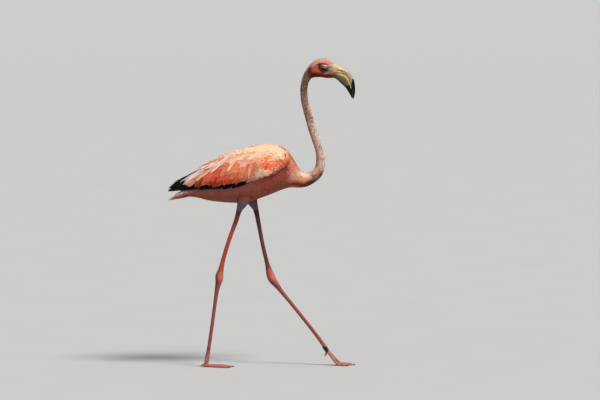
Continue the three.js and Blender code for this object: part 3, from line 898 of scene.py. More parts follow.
# height of a swelling or hollow of the head in mm, its centre, reach and turn in the side view
HEAD_FORMS = [
    (-1.7, (215, 954), (12, 6.5), -6),
    (0.8, (203, 972.5), (13, 3.8), -8),
    (0.9, (178, 949), (17, 8), -12),
    (-0.9, (208, 941.5), (20, 1.8), 8),
    (0.5, (214, 934), (13, 5), 5),
    (-0.6, (189, 958), (4.5, 9), 0),
]


def head_relief(point):
    """How far the head's own forms stand out of its plain oval, in metres."""
    x, z = side_view(point)
    side = ramp(np.abs(point[..., 1]) / MM, 4, 11)
    return sum(height * spot(x, z, *oval) for height, *oval in HEAD_FORMS) * side * MM


def head_surface(station, angle):
    """The body's form with the head's own hollows and swellings."""
    point = body_surface(station, angle)
    along = body_surface(station + STEP, angle) - body_surface(station - STEP, angle)
    across = body_surface(station, angle + STEP) - body_surface(station, angle - STEP)
    normal = unit(np.cross(along, across))
    return point + normal * head_relief(point)[..., None]


def skin_surface(station, angle):
    point, _, _, normal = frames(head_surface, station, angle)
    return point - normal * coat_depth(station)[..., None]


# ---- Materials ----


class Material:
    """A node material under construction. Each method adds a node and gives its output."""

    def __init__(self, name, roughness, **settings):
        self.material = bpy.data.materials.new(name)
        self.material.use_nodes = True
        self.tree = self.material.node_tree
        self.shader = self.tree.nodes["Principled BSDF"]
        self.shader.inputs["Roughness"].default_value = roughness
        for label, value in settings.items():
            self.shader.inputs[label.replace("_", " ")].default_value = value

    def node(self, kind, **settings):
        node = self.tree.nodes.new(kind)
        for label, value in settings.items():
            setattr(node, label, value)
        return node

    def link(self, source, target):
        """Joins a node's output, or sets a plain value."""
        if isinstance(source, bpy.types.NodeSocket):
            self.tree.links.new(source, target)
        else:
            target.default_value = source

    def math(self, operation, first, second=0.0, third=None):
        node = self.node("ShaderNodeMath", operation=operation)
        self.link(first, node.inputs[0])
        self.link(second, node.inputs[1])
        if third is not None:
            self.link(third, node.inputs[2])
        return node.outputs[0]

    def tint(self):
        return self.node("ShaderNodeAttribute", attribute_name="Tint").outputs["Color"]

    def number(self, name):
        return self.node("ShaderNodeAttribute", attribute_name=name).outputs["Fac"]

    def place(self):
        return self.node("ShaderNodeTexCoord").outputs["Object"]

    def noise(self, scale, detail=3.0, stretch=None):
        vector = self.place()
        if stretch is not None:
            mapping = self.node("ShaderNodeMapping")
            mapping.inputs["Scale"].default_value = stretch
            self.link(vector, mapping.inputs["Vector"])
            vector = mapping.outputs["Vector"]
        node = self.node("ShaderNodeTexNoise")
        self.link(vector, node.inputs["Vector"])
        node.inputs["Scale"].default_value = scale
        node.inputs["Detail"].default_value = detail
        return node.outputs["Fac"]

    def mottle(self, scale, detail, low, high):
        """Soft noise between two numbers."""
        return self.remap(self.noise(scale, detail), 0.3, 0.7, low, high)

    def cells(self, scale):
        node = self.node("ShaderNodeTexVoronoi", feature="DISTANCE_TO_EDGE")
        self.link(self.place(), node.inputs["Vector"])
        node.inputs["Scale"].default_value = scale
        return node.outputs["Distance"]

    def remap(self, value, *limits):
        """A number taken from one range, low and high, to another."""
        node = self.node("ShaderNodeMapRange")
        self.link(value, node.inputs["Value"])
        for label, limit in zip(("From Min", "From Max", "To Min", "To Max"), limits):
            self.link(limit, node.inputs[label])
        return node.outputs["Result"]

    def scaled(self, colour, share):
        """A colour times a number."""
        node = self.node("ShaderNodeVectorMath", operation="SCALE")
        self.link(colour, node.inputs[0])
        self.link(share, node.inputs["Scale"])
        return node.outputs[0]

    def finish(self, colour, height=None, depth=0.0, roughness=None):
        self.link(colour, self.shader.inputs["Base Color"])
        if roughness is not None:
            self.link(roughness, self.shader.inputs["Roughness"])
        if height is not None:
            bump = self.node("ShaderNodeBump")
            bump.inputs["Distance"].default_value = depth
            self.link(height, bump.inputs["Height"])
            self.link(bump.outputs["Normal"], self.shader.inputs["Normal"])
        return self.material


def feather_material(name, roughness, barb_spacing, barb_depth, gloss=0.11):
    """Vanes coloured by their own tint, with oblique barbs on both sides of the shaft."""
    m = Material(name, roughness, Sheen_Weight=gloss * 0.3, Sheen_Roughness=0.5, Specular_IOR_Level=gloss)
    uv = m.node("ShaderNodeUVMap", uv_map="Vane")
    split = m.node("ShaderNodeSeparateXYZ")
    m.link(uv.outputs["UV"], split.inputs[0])
    across = m.math("ABSOLUTE", split.outputs["Y"])
    slant = m.math("MULTIPLY_ADD", across, -1.1, split.outputs["X"])
    wobble = m.math("MULTIPLY", m.noise(260.0, 2.0), 0.009)
    phase = m.math("MULTIPLY", m.math("ADD", slant, wobble), 2 * math.pi * VANE_UNIT / barb_spacing)
    barbs = m.math("MULTIPLY_ADD", m.math("SINE", phase), 0.5, 0.5)
    shaft = m.remap(across, 0.0, 0.0045, 1.0, 0.0)
    shade = m.math("MULTIPLY", m.mottle(55.0, 4.0, 0.93, 1.06), m.remap(barbs, 0.0, 1.0, 0.96, 1.02))
    height = m.math("MULTIPLY_ADD", shaft, 1.2, barbs)
    return m.finish(m.scaled(m.tint(), shade), height, barb_depth)


def skin_material():
    """Bare skin with fine wrinkles; most of it is hidden under the coat."""
    m = Material("skin", 0.55, Specular_IOR_Level=0.35)
    folds = m.math("ADD", m.noise(420.0, 4.0), m.remap(m.cells(900.0), 0.0, 0.3, 0.0, 0.35))
    rough = m.mottle(90.0, 3.0, 0.48, 0.66)
    return m.finish(m.scaled(m.tint(), m.mottle(160.0, 5.0, 0.86, 1.1)), folds, 0.00035, rough)


def leg_material():
    """Scaled skin: small soft scales between the scutes, on the joints and on the foot."""
    m = Material("leg_skin", 0.45, Specular_IOR_Level=0.4)
    small = m.cells(1250.0)
    scales = m.remap(small, 0.0, 0.25, 0.0, 1.0)
    # painted shade: a little darker in the grooves between the small scales
    shade = m.math("MULTIPLY", m.remap(small, 0.0, 0.16, 0.93, 1.0), m.mottle(60.0, 6.0, 0.78, 1.16))
    return m.finish(m.scaled(m.tint(), shade), scales, 0.00012, m.mottle(120.0, 3.0, 0.4, 0.6))


def horn_material(name, roughness, streaks):
    """Smooth horn with faint growth lines and fine wear."""
    m = Material(name, roughness, Specular_IOR_Level=0.24)
    lines = m.noise(90.0, 5.0, streaks)
    shade = m.remap(lines, 0.3, 0.7, 0.84, 1.1)
    wear = m.remap(m.noise(300.0, 4.0), 0.35, 0.7, roughness - 0.05, roughness + 0.13)
    return m.finish(m.scaled(m.tint(), shade), lines, 0.0004, wear)


# distance from the pupil's middle as a share of the eyeball's radius, linear colour
IRIS_STOPS = [
    (0.0, (0.003, 0.003, 0.003)),
    (0.25, (0.005, 0.004, 0.003)),
    (0.275, (0.12, 0.08, 0.02)),
    (0.33, (0.46, 0.34, 0.11)),
    (0.44, (0.60, 0.47, 0.19)),
    (0.51, (0.38, 0.26, 0.08)),
    (0.55, (0.04, 0.025, 0.012)),
    (1.0, (0.03, 0.02, 0.015)),
]


def eye_material():
    """A wet eye: a round pupil, a pale straw iris with fine rays and a dark outer rim."""
    m = Material("eye", 0.08, Specular_IOR_Level=0.6, Coat_Weight=1.0, Coat_Roughness=0.03)
    iris = m.node("ShaderNodeValToRGB")
    m.link(m.number("Radius"), iris.inputs["Fac"])
    elements = iris.color_ramp.elements
    while len(elements) < len(IRIS_STOPS):
        elements.new(0.5)
    for element, (position, colour) in zip(elements, IRIS_STOPS):
        element.position = position
        element.color = (*colour, 1)
    return m.finish(m.scaled(iris.outputs["Color"], m.mottle(1400.0, 3.0, 0.85, 1.12)))


def floor_material():
    m = Material("floor", 0.9, Specular_IOR_Level=0.1)
    colour = m.node("ShaderNodeRGB")
    colour.outputs[0].default_value = (*FLOOR_COLOUR, 1)
    return m.finish(m.scaled(colour.outputs[0], m.mottle(3.0, 3.0, 0.99, 1.01)))


# ---- Skin ----

SKIN_AROUND = 96
SKIN_STEPS = [(1.4, 13.0, 90), (13.0, 27.0, 190), (27.0, 33.0, 110)]  # from, to, rings
BILL_AXIS = np.array([1.0, 0, -0.12])
TUCK_DEPTH = 3.5 * MM  # how far the skin runs on under the bill
BILL_TUCK = [(0.96, 0.5), (0.9, 1.0)]  # its two rings there: share of the last ring and of the depth


def skin_part(points, faces, tint, bake):
    """The arrays of one part of the skin; `bake` is its place on the baking map."""
    return {
        "points": points.reshape(-1, 3), "faces": faces,
        "tint": tint.reshape(-1, 3), "bake": bake.reshape(-1, 2),
    }


def body_skin():
    """The skin of tail base, trunk, neck and head, closed at both ends."""
    steps = [np.linspace(first, last, count, endpoint=False) for first, last, count in SKIN_STEPS]
    stations = np.concatenate([*steps, [BODY_END]])
    angles = turns(SKIN_AROUND, 0.5)
    s, a = grid(stations, angles)
    points = skin_surface(s, a)
    tint = body_tint(s, a, body_surface(s, a))
    last = points[-1]
    centre = last.mean(0)
    axis = unit(BILL_AXIS)
    tucked = [centre + (last - centre) * share + axis * TUCK_DEPTH * depth for share, depth in BILL_TUCK]
    points = np.concatenate([points, np.array(tucked)])
    tint = np.concatenate([tint, tint[-1:], tint[-1:]])
    v, u = grid(np.arange(len(points)) / len(points), angles / (2 * math.pi))
    bake = np.stack([0.02 + 0.44 * u, 0.02 + 0.96 * v], -1)
    return skin_part(points, closed_grid(len(points), SKIN_AROUND)[:, ::-1], tint, bake)


WING_PAD = np.linspace(88, -236, 60)  # x of the rings of a wing's flesh
WING_PAD_SHARES = np.linspace(0.06, 0.94, 18)  # heights of their points, from the upper edge down
WING_PAD_DEPTH, WING_PAD_INNER, WING_PAD_SWELL = 5.5, 7.0, 6.5  # mm under the feathers' tips


def wing_skin(side):
    """The flesh of a folded wing: a curved pad under its feathers."""
    rings = []
    shares = WING_PAD_SHARES
    for x in WING_PAD:
        top, bottom = wing_edges(x)
        end = ramp(x, -165, -232)
        z = top + (bottom - top) * (0.56 * end + shares * (1 - end) + 0.1 * (shares - 0.5) * end)
        point, _, _, normal = frames(wing_surface(side), np.full(len(z), x * MM), z * MM)
        thin = 0.5 + 0.5 * math.sin(math.pi * (x + 240) / 335)
        outer = point + normal * side * ((WING_PAD_DEPTH + 5 * end) * MM)
        inner = point + normal * side * ((WING_PAD_INNER + WING_PAD_SWELL * thin + 5 * end) * MM)
        ring = np.concatenate([outer, inner[::-1]])
        ring[:, 1] = side * np.maximum(side * ring[:, 1], 0.6 * MM)
        rings.append(ring)
    points = np.array(rings)
    rows, around = points.shape[:2]
    v, u = grid(np.linspace(0, 1, rows), np.linspace(0, 1, around))
    bake = np.stack([0.48 + 0.1 * u + (0.12 if side > 0 else 0), 0.02 + 0.5 * v], -1)
    return skin_part(points, closed_grid(rows, around)[:, ::side], wing_tint(*side_view(points)), bake)


# x, z of the line under which the coverts are orange red
ORANGE_LINE = np.array([
    (-256, 585), (-214, 600), (-170, 622), (-130, 628), (-100, 622), (-77, 616), (-56, 606), (-30, 590),
])
WING_MARKS = [
    (SALMON, 1.5, (-4, 645), (58, 12), 3),
    (ORANGE, 0.8, (-44, 646), (20, 8), 75),
    (ROSE_BROWN, 0.9, (-24, 640), (20, 8), 75),
    (ORANGE, 0.45, (-8, 668), (22, 8), 0),
    (ORANGE, 1.3, (15, 667), (9, 7), 60),
    (ORANGE, 0.7, (4, 650), (12, 8), 0),
    (ORANGE_RED, 0.8, (52, 657), (16, 8), 20),
    (CREAM_WHITE, 1.0, (56, 680), (10, 6), 0),
    (BREAST_ORANGE, 2.2, (85, 672), (11, 26), -20),
    (ORANGE_RED, 1.0, (70, 650), (9, 8), 0),
    (RED, 2.4, (12, 639), (9, 6), 20),
    (RED_ORANGE, 1.8, (30, 649), (9, 5), 15),
    (RED, 0.9, (-7, 640), (6, 3.5), 0),
    (PEACH_PALE, 0.8, (17, 630), (13, 3.5), 28),
    (LILAC_DUSK, 1.4, (-12, 615), (20, 6), 14),
    (ROSE_WHITE, 0.9, (-4, 614), (10, 2.6), 14),
    (FLANK_ROSE, 2.2, (56, 633), (42, 6.5), 37),
    (PALE_GREEN, 1.8, (-3, 630), (6, 10), -10),
    (CREAM_WHITE, 0.6, (-13, 621), (4, 4), 0),
    (LILAC_DUSK, 1.3, (-44, 604), (22, 6.5), 14),
    (ROSE_BROWN, 0.9, (-188, 600), (6, 15), -12),
    (ORANGE_BROWN, 1.1, (-207, 592), (9, 9), 30),
    (DEEP_RED, 1.2, (-150, 593), (26, 7), 5),
    # painted shade: a dark band along the lowest coverts' tips
    (COVERT_UNDER_SHADE, 1.5, (-165, 581), (52, 5.5), -2),
    (DEEP_RED, 0.8, (-94, 600), (11, 7), 70),
    (ORANGE_RED, 0.9, (-66, 605), (9, 6), 60),
    # painted shadow under the scapulars
    (DEEP_RED, 0.5, (-146, 636), (28, 5), 27),
]


def wing_tint(x, z):
    """Markings of the folded wing in the side view, in millimetres, with painted shade under the lowest
    coverts and under the scapulars.
    """
    top, _ = wing_edges(x)
    line = np.interp(x, *ORANGE_LINE.T)
    tint = layered(
        mix(PEACH, PEACH_PALE, ramp(z, top - 34, top - 8)),
        (SALMON, ramp(z, line + 58, line + 30) * ramp(x, 10, -30)),
        (ORANGE_RED, ramp(z, line + 9, line - 7) * ramp(x, -30, -52)),
    )
    return marked(tint, WING_MARKS, x, z)


# ---- Eyes and lids ----


def eye_axes(side):
    """The way an eye looks, and the forward and upward directions across it."""
    look = unit(np.array([0.10, side, 0.03]))
    forward = unit(np.cross(look, [0, 0, 1.0])) * side
    return look, forward, np.cross(forward, look) * side


def eye_centre(side):
    return EYE_CENTRE * np.array([1, side, 1]) * MM


EYE_RINGS, EYE_AROUND = 73, 64
CORNEA_RISE = 0.035  # of the radius


def eye_ball(side):
    """A ball with a slight cornea. `Radius` is 0 at the pupil's middle and 1 at the ball's edge."""
    look, forward, up = eye_axes(side)
    p, a = grid(np.linspace(0, math.pi, EYE_RINGS), turns(EYE_AROUND))
    radius = EYE_RADIUS * MM * (1 + CORNEA_RISE * ramp(p, 0.62, 0.2))
    points = eye_centre(side) + radius[..., None] * (
        np.cos(p)[..., None] * look
        + (np.sin(p) * np.cos(a))[..., None] * forward
        + (np.sin(p) * np.sin(a))[..., None] * up
    )
    bake = 0.5 + 0.48 * (p / math.pi)[..., None] * np.stack([np.cos(a), np.sin(a)], -1)
    spread = np.sin(np.minimum(p, math.pi / 2))
    return make_object(
        f"eyeball_{side_name(side)}", points.reshape(-1, 3), [grid_faces(*p.shape)[:, ::side]],
        uv={"OFBake": bake.reshape(-1, 2)}, numbers={"Radius": spread.reshape(-1)},
    )


def skin_breadth(points_x, points_z):
    """How far the skin of the head stands from the middle plane at x, z near the eye."""
    s, a = grid(np.linspace(29, 33, 150), np.linspace(0.5, 2.4, 150))
    sample = skin_surface(s, a).reshape(-1, 3)
    gap = (points_x.reshape(-1, 1) - sample[:, 0]) ** 2 + (points_z.reshape(-1, 1) - sample[:, 2]) ** 2
    return sample[np.argmin(gap, 1), 1].reshape(points_x.shape)


LID_OPENING = (3.8, 3.2)  # half length and half height of the opening between the lids
# outward from the opening's edge in mm, share of the way from the ball's form to the skin's, lift
LID_PROFILE = [
    (-0.25, 0.0, -0.7),
    (0.0, 0.0, 0.16),
    (0.22, 0.03, 0.5),
    (0.55, 0.12, 0.62),
    (0.9, 0.3, 0.5),
    (1.15, 0.45, 0.34),
    (1.45, 0.6, 0.42),
    (1.9, 0.8, 0.34),
    (2.5, 1.0, 0.12),
    (3.2, 1.0, -0.35),
]
LID_AROUND = 72
LID_RIM = paint(84, 62, 44)


def eye_lids(side):
    """The ring of lids round an eye, with one fine crease, laid from the ball down to the skin."""
    centre = eye_centre(side) / MM
    psi = turns(LID_AROUND)
    corner = 1 + 0.09 * np.cos(psi) ** 8
    rings = []
    for outward, share, lift in LID_PROFILE:
        dx = (LID_OPENING[0] + outward) * corner * np.cos(psi)
        dz = (LID_OPENING[1] + outward) * np.sin(psi)
        reach = np.minimum(np.sqrt(dx**2 + dz**2), EYE_RADIUS * 0.98)
        ball = centre[1] * side + np.sqrt(EYE_RADIUS**2 - reach**2)
        x, z = centre[0] + dx, centre[2] + dz
        skin = skin_breadth(x * MM, z * MM) / MM
        y = np.maximum(ball + (skin - ball) * share + lift, ball + min(lift, 0.3))
        rings.append(np.stack([x, side * y, z], -1) * MM)
    points = np.array(rings)
    x, z = side_view(points)
    outer = mix(head_tint(x, z), EYE_RING, ramp(x - 0.5 * z, 196 - 481, 199 - 481))
    shades = ramp(np.array(LID_PROFILE)[:, :1], 0.0, 0.5)
    reach = 0.02 + 0.003 * np.arange(len(points))[:, None]
    bake = np.stack([0.52 + 0.12 * (side > 0) + reach * np.cos(psi), 0.62 + reach * np.sin(psi)], -1)
    faces = grid_faces(len(points), LID_AROUND)[:, ::side]
    return skin_part(points, faces, mix(LID_RIM, outer, shades), bake)


# ---- Bill ----

BILL_RINGS = 200
BILL_AROUND = 64
BILL_GAP = 0.15  # half the slit between the mandibles

UPPER_MOUTH, UPPER_CULMEN = paint(204, 178, 122), paint(194, 172, 146)
UPPER_BASE = paint(214, 176, 132)
UPPER_EDGE = paint(66, 46, 24)  # dark, along the mouth
# the lower mandible darkens from mouth to keel: partly its olive horn, partly painted shade
LOWER_MOUTH, LOWER_OLIVE_IN_SHADE, LOWER_KEEL_SHADE = paint(194, 172, 118), paint(116, 98, 64), paint(82, 66, 60)
LOWER_STRIPE = paint(240, 224, 166)  # pale, just under the mouth
NOSTRIL_SHADE = paint(84, 50, 26)
MOUTH_SHADE = paint(84, 66, 38)
NOSTRIL, NOSTRIL_DEPTH = ((250.5, 948.4), (8.2, 1.0), -15), 2.4  # centre, reach and turn; mm
# grooves along each mandible: middle and width as shares of its height, then their depths in mm
UPPER_GROOVE, UPPER_FOLD, UPPER_DEPTHS = (0.25, 0.055), (0.78, 0.07), (0.9, 0.45)
LOWER_GROOVE, LOWER_FOLD, LOWER_DEPTHS = (0.16, 0.05), (0.42, 0.05), (0.5, 0.25)
# how square the arch is across the mouth, and how full towards its top
UPPER_ARCH, LOWER_ARCH = (0.72, 1.04), (0.8, 1.0)
BILL_LEAST_HALF = 0.3
BILL_FLOOR = np.linspace(-1, 1, 10)[1:-1]  # points across a mandible's flat side, as shares of its half
# soft marks of the upper mandible, below and above its dark mouth edge
BILL_MARKS = [
    (paint(206, 134, 74), 0.7, (238, 948), (15, 3), -8),
    (paint(204, 150, 74), 0.8, (256, 942.5), (14, 1.8), -26),
    (paint(240, 222, 194), 0.9, (250, 955), (8, 3), -28),
    (paint(120, 78, 40), 0.9, (254, 948), (10, 1.5), -22),
]
BILL_TIP_MARKS = [
    (paint(112, 76, 40), 0.9, (270, 940), (9, 1.6), -44),
    (paint(150, 124, 84), 0.7, (282, 922), (4, 14), 16),
]
LOWER_BILL_MARKS = [(paint(84, 84, 50), 0.9, (233, 934), (7, 7), -30)]
# z and x of the black tip's hind edge on the upper mandible, and of its wedge on the lower one
UPPER_BLACK = ([868, 884, 893, 905, 921, 926], [266, 281.5, 283.5, 285.4, 288, 300])
LOWER_BLACK = ([880, 889, 893, 905], [300, 289, 283, 279.6])
WEDGE_X, WEDGE_Z, WEDGE_SLOPE = 268.2, 898.6, 0.36  # a place on the wedge's upper edge, and its rise


def bill_tint(x, z, high, upper):
    """Horn colours at x, z; `high` is 0 at the mouth line and 1 at the culmen or the keel."""
    if upper:
        tint = mix(UPPER_MOUTH, UPPER_CULMEN, ramp(high, 0.45, 0.95))
        tint = marked(mix(tint, UPPER_BASE, ramp(x, 248, 232)), BILL_MARKS, x, z)
        tint = mix(tint, UPPER_EDGE, 0.95 * ramp(high, 0.2, 0.07) * ramp(x, 250, 262))
        tint = marked(tint, BILL_TIP_MARKS, x, z)
        edge = np.interp(z, *UPPER_BLACK)
        black = ramp(x, edge - 0.8, edge + 0.8)
    else:
        # darker olive towards the keel: partly the horn's olive, partly painted shade
        tint = layered(
            mix(LOWER_MOUTH, LOWER_OLIVE_IN_SHADE, ramp(high, 0.0, 0.45)),
            (LOWER_KEEL_SHADE, ramp(high, 0.45, 0.9)),
            (LOWER_STRIPE, 0.95 * bell(high, 0.1, 0.07) * ramp(x, 238, 252)),
        )
        tint = marked(tint, LOWER_BILL_MARKS, x, z)
        above = z - (WEDGE_Z + WEDGE_SLOPE * (x - WEDGE_X))
        black = ramp(above, 1.3, -1.3) * ramp(x - np.interp(z, *LOWER_BLACK), 1.0, -0.6)
    return mix(tint, FLIGHT_BLACK * 0.3, black)


def mandible(name, upper):
    """One half of the bill: an arch over the mouth line, with a groove and a nostril above."""
    line = smooth(BILL_LINE, BILL_RINGS)
    rise = (line[:, 0:2] if upper else line[:, 4:6]) - line[:, 2:4]
    half = line[:, 6:7] if upper else line[:, 7:8]
    mouth = line[:, 2:4] + unit(rise) * BILL_GAP
    angles = np.linspace(0, math.pi, BILL_AROUND)
    bluntness, fullness = UPPER_ARCH if upper else LOWER_ARCH
    across = np.sign(np.cos(angles)) * np.abs(np.cos(angles)) ** bluntness
    high = np.maximum(np.sin(angles), 0) ** fullness
    x, z = (mouth[:, i, None] + rise[:, i, None] * high for i in (0, 1))
    along = np.linspace(0, 1, BILL_RINGS)[:, None]
    if upper:
        groove = bell(high, *UPPER_GROOVE) * ramp(along, 0.02, 0.1) * ramp(along, 0.93, 0.75)
        fold = bell(high, *UPPER_FOLD) * ramp(along, 0.95, 0.7)
        slit = spot(x, z, *NOSTRIL)
        pull = UPPER_DEPTHS[0] * groove + UPPER_DEPTHS[1] * fold + NOSTRIL_DEPTH * slit
    else:
        groove = bell(high, *LOWER_GROOVE) * ramp(along, 0.1, 0.2) * ramp(along, 0.8, 0.6)
        fold = bell(high, *LOWER_FOLD) * ramp(along, 0.8, 0.5)
        pull = LOWER_DEPTHS[0] * groove + LOWER_DEPTHS[1] * fold
    y = np.maximum(half - pull, BILL_LEAST_HALF) * across
    low_x, low_z = (np.repeat(mouth[:, i, None], len(BILL_FLOOR), 1) for i in (0, 1))
    floor = (low_x, half * BILL_FLOOR, low_z)
    points = np.stack([np.concatenate(pair, 1) for pair in zip((x, y, z), floor)], -1) * MM
    around = points.shape[1]
    order = np.roll(np.arange(around), len(BILL_FLOOR) // 2)
    last = order + (BILL_RINGS - 1) * around
    quads = np.concatenate([grid_faces(BILL_RINGS, around), cap_faces(order, flip=True), cap_faces(last)])
    height = np.concatenate([high, 0 * BILL_FLOOR])[None] * np.ones((BILL_RINGS, 1))
    tint = bill_tint(*side_view(points), height, upper)
    if upper:
        # painted shade in the nostril slit and along the groove
        dark = np.zeros(points.shape[:2])
        dark[:, :BILL_AROUND] = 0.95 * np.clip(1.3 * slit, 0, 1) + 0.3 * groove
        tint = mix(tint, NOSTRIL_SHADE, np.clip(dark, 0, 1))
    # painted shade along the slit between the mandibles
    tint = mix(tint, MOUTH_SHADE, 0.7 * ramp(height, 0.09, 0.0))
    v, u = grid(np.linspace(0.02, 0.98, BILL_RINGS), np.linspace(0.02, 0.98, around))
    return make_object(
        name, points.reshape(-1, 3), [quads if upper else quads[:, ::-1]], tint=tint.reshape(-1, 3),
        uv={"OFBake": np.stack([u, v], -1).reshape(-1, 2)},
    )


# ---- Legs and feet ----

LEG_START = 2.2  # station where the bare leg begins, under the thigh's feathers
LEG_RINGS = 300
LEG_AROUND = 28
SCUTE_LENGTH, TOE_SCUTE_LENGTH = 5.2, 3.4  # mm along the leg and along the toes
SCUTE_DEPTH, TOE_SCUTE_DEPTH = 0.28, 0.16
SCUTE_GROOVE, TOE_SCUTE_GROOVE = 0.13, 0.16  # widths, as shares of the scutes' lengths
KNOB_RISE = 1.3  # mm that the ankle's knobs stand out
ANKLE, ANKLE_TOP = (9.3, 0.75), (8.2, 0.4)  # station and reach of its knobs
LEG_VOXEL = 0.75 * MM
LEG_KEEP = 0.42  # share of the remeshed triangles that is kept

# share of the toe's length, sole height, height above the sole, half breadth
TOE_FLAT = np.array([
    (-0.09, 0, 9, 5.4),
    (0, 0, 13, 6.2),
    (0.16, 0, 9.5, 5.2),
    (0.42, 0, 8.2, 4.7),
    (0.72, 0, 7, 4.3),
    (0.93, 0, 5.6, 3.6),
    (1, 0, 4, 2.6),
])
TOE_LANDING = np.array([
    (-0.05, 42, 8, 5.4),
    (0.06, 35, 13, 6.2),
    (0.24, 20, 12, 5.2),
    (0.42, 7, 10, 4.8),
    (0.57, 0, 8.2, 4.6),
    (0.76, 0, 6.8, 4.3),
    (0.93, 0, 5.6, 3.6),
    (1, 0, 4, 2.6),
])
TOES = [("inner", -27, 68), ("middle", 0, 82), ("outer", 25, 78)]  # degrees outward, length
TOE_JOINTS = (0.36, 0.62, 0.84)  # shares of the length where a toe is knuckled
WEB_START, WEB_REACH, WEB_HOLLOW = 0.12, 0.94, 0.2
WEB_LIFT, WEB_THICKNESS = 0.9, 1.5
# distance back from the foot joint, rise above the toe's own line, half thickness
HIND_TOE = np.array([(3, 0, 3.8), (9, 0.4, 3.6), (14, 0, 2.6), (17, -0.6, 1.6), (20, -1.8, 0.5)])
FEET = {
    "right": {"outward": -1, "outline": TOE_FLAT, "droop": 12},
    "left": {"outward": 1, "outline": TOE_LANDING, "droop": 58},
}
CLAW_LENGTH = 8.0
CLAW_GAP = 0.3
CLAW_LIFT = 0.5
CLAW_HEIGHT, CLAW_HALF = 3.4, 2.3
TOE_RINGS, HIND_TOE_RINGS, CLAW_RINGS = 60, 24, 14


def closed_loft(rings):
    """Points and quads of a closed body from rings of an even number of points."""
    quads = closed_grid(*rings.shape[:2])
    points = rings.reshape(-1, 3)
    a, b, c, d = (points[quads[:, i]] for i in range(4))
    volume = (np.cross(b - a, c - a) * a).sum() + (np.cross(c - a, d - a) * a).sum()
    return points, quads if volume > 0 else quads[:, ::-1]


def leg_loft(side):
    stations = np.linspace(LEG_START, LEG_END, LEG_RINGS)
    s, a = grid(stations, turns(LEG_AROUND, 0.5))
    rings = leg_surface(side)(s, a)
    centres = rings.mean(1, keepdims=True)
    inset = 1 - 0.12 * ramp(stations, 3.6, 2.6)[:, None, None]
    return closed_loft(centres + (rings - centres) * inset)


def along_toe(joint, angle, distance):
    return joint[0] + distance * np.cos(angle), joint[1] + distance * np.sin(angle)


def toe_rings(joint, angle, distances, soles, heights, halves, around=20):
    """Rings across a toe, flattened underneath; sizes are arrays over the rings."""
    phi = turns(around, 0.5)
    across = np.sign(np.cos(phi)) * np.abs(np.cos(phi)) ** 0.85
    up = np.clip(0.5 + 0.56 * np.sin(phi), 0.0, 1.06)
    x, y = along_toe(joint, angle, distances)
    side = halves[:, None] * across
    return np.stack([
        x[:, None] - side * np.sin(angle),
        y[:, None] + side * np.cos(angle),
        soles[:, None] + heights[:, None] * up,
    ], -1) * MM


def toe_loft(joint, angle, length, outline):
    row = smooth(outline, TOE_RINGS)
    knuckle = sum(bell(row[:, 0], place, 0.035) for place in TOE_JOINTS)
    height = row[:, 2] * (1 + 0.09 * knuckle)
    half = row[:, 3] * (1 + 0.07 * knuckle)
    return closed_loft(toe_rings(joint, angle, row[:, 0] * length, row[:, 1], height, half))


def web_loft(joint, first, second, outline):
    """The web between two toes: a thin sheet, hollow in front and slack between the toes."""
    v, i = np.meshgrid(np.linspace(0, 1, 14), np.linspace(0, 1, 26))
    angle, length = (first[k] + (second[k] - first[k]) * v for k in (0, 1))
    sag = np.sin(math.pi * v)
    share = WEB_START + (WEB_REACH - WEB_HOLLOW * sag - WEB_START) * i
    x, y = along_toe(joint, angle, share * length)
    slack = 0.6 * sag * np.sin(i * 14) * i
    sole = np.interp(share, outline[:, 0], outline[:, 1])
    base = sole + WEB_LIFT + np.maximum(slack, -0.4) + 0.5 * sag
    under = np.stack([x, y, base], -1)
    over = np.stack([x, y, base + WEB_THICKNESS], -1)[:, ::-1]
    return closed_loft(np.concatenate([under, over], 1) * MM)


def hind_toe_loft(joint, droop):
    back = np.array([-math.cos(droop), 0, -math.sin(droop)])
    up = np.array([-math.sin(droop), 0, math.cos(droop)])
    row = smooth(HIND_TOE, HIND_TOE_RINGS)
    phi = turns(16, 0.5)[:, None]
    centre = joint + back * row[:, 0:1] + up * row[:, 1:2]
    ring = up * np.cos(phi) + np.array([0, 1.0, 0]) * np.sin(phi)
    return closed_loft((centre[:, None] + ring[None] * row[:, 2, None, None]) * MM)


def foot_toes(side):
    """Name, angle in radians and length of each front toe."""
    outward = FEET[side]["outward"]
    return [(name, outward * math.radians(degrees), length) for name, degrees, length in TOES]


def foot_joint(side):
    """Where the leg's line meets the toes, in millimetres."""
    return rail(LEG_CURVES[side], np.array([float(LEG_END)]))[0, :3]


def mesh_arrays(mesh):
    """Points, normals and triangles of a mesh."""
    count = len(mesh.vertices)
    points, normals = np.zeros(count * 3), np.zeros(count * 3)
    mesh.vertices.foreach_get("co", points)
    mesh.vertices.foreach_get("normal", normals)
    mesh.calc_loop_triangles()
    triangles = np.zeros(len(mesh.loop_triangles) * 3, np.int32)
    mesh.loop_triangles.foreach_get("vertices", triangles)
    return points.reshape(-1, 3), normals.reshape(-1, 3), triangles.reshape(-1, 3)


def reworked(points, faces, modifiers):
    """The arrays of a mesh after some modifiers: kind and settings of each."""
    piece = make_object("work", points, [faces])
    for kind, settings in modifiers:
        modifier = piece.modifiers.new(kind.lower(), kind)
        for label, value in settings.items():
            setattr(modifier, label, value)
    depsgraph = bpy.context.evaluated_depsgraph_get()
    mesh = bpy.data.meshes.new_from_object(piece.evaluated_get(depsgraph))
    arrays = mesh_arrays(mesh)
    bpy.data.meshes.remove(mesh)
    old = piece.data
    bpy.data.objects.remove(piece)
    bpy.data.meshes.remove(old)
    return arrays


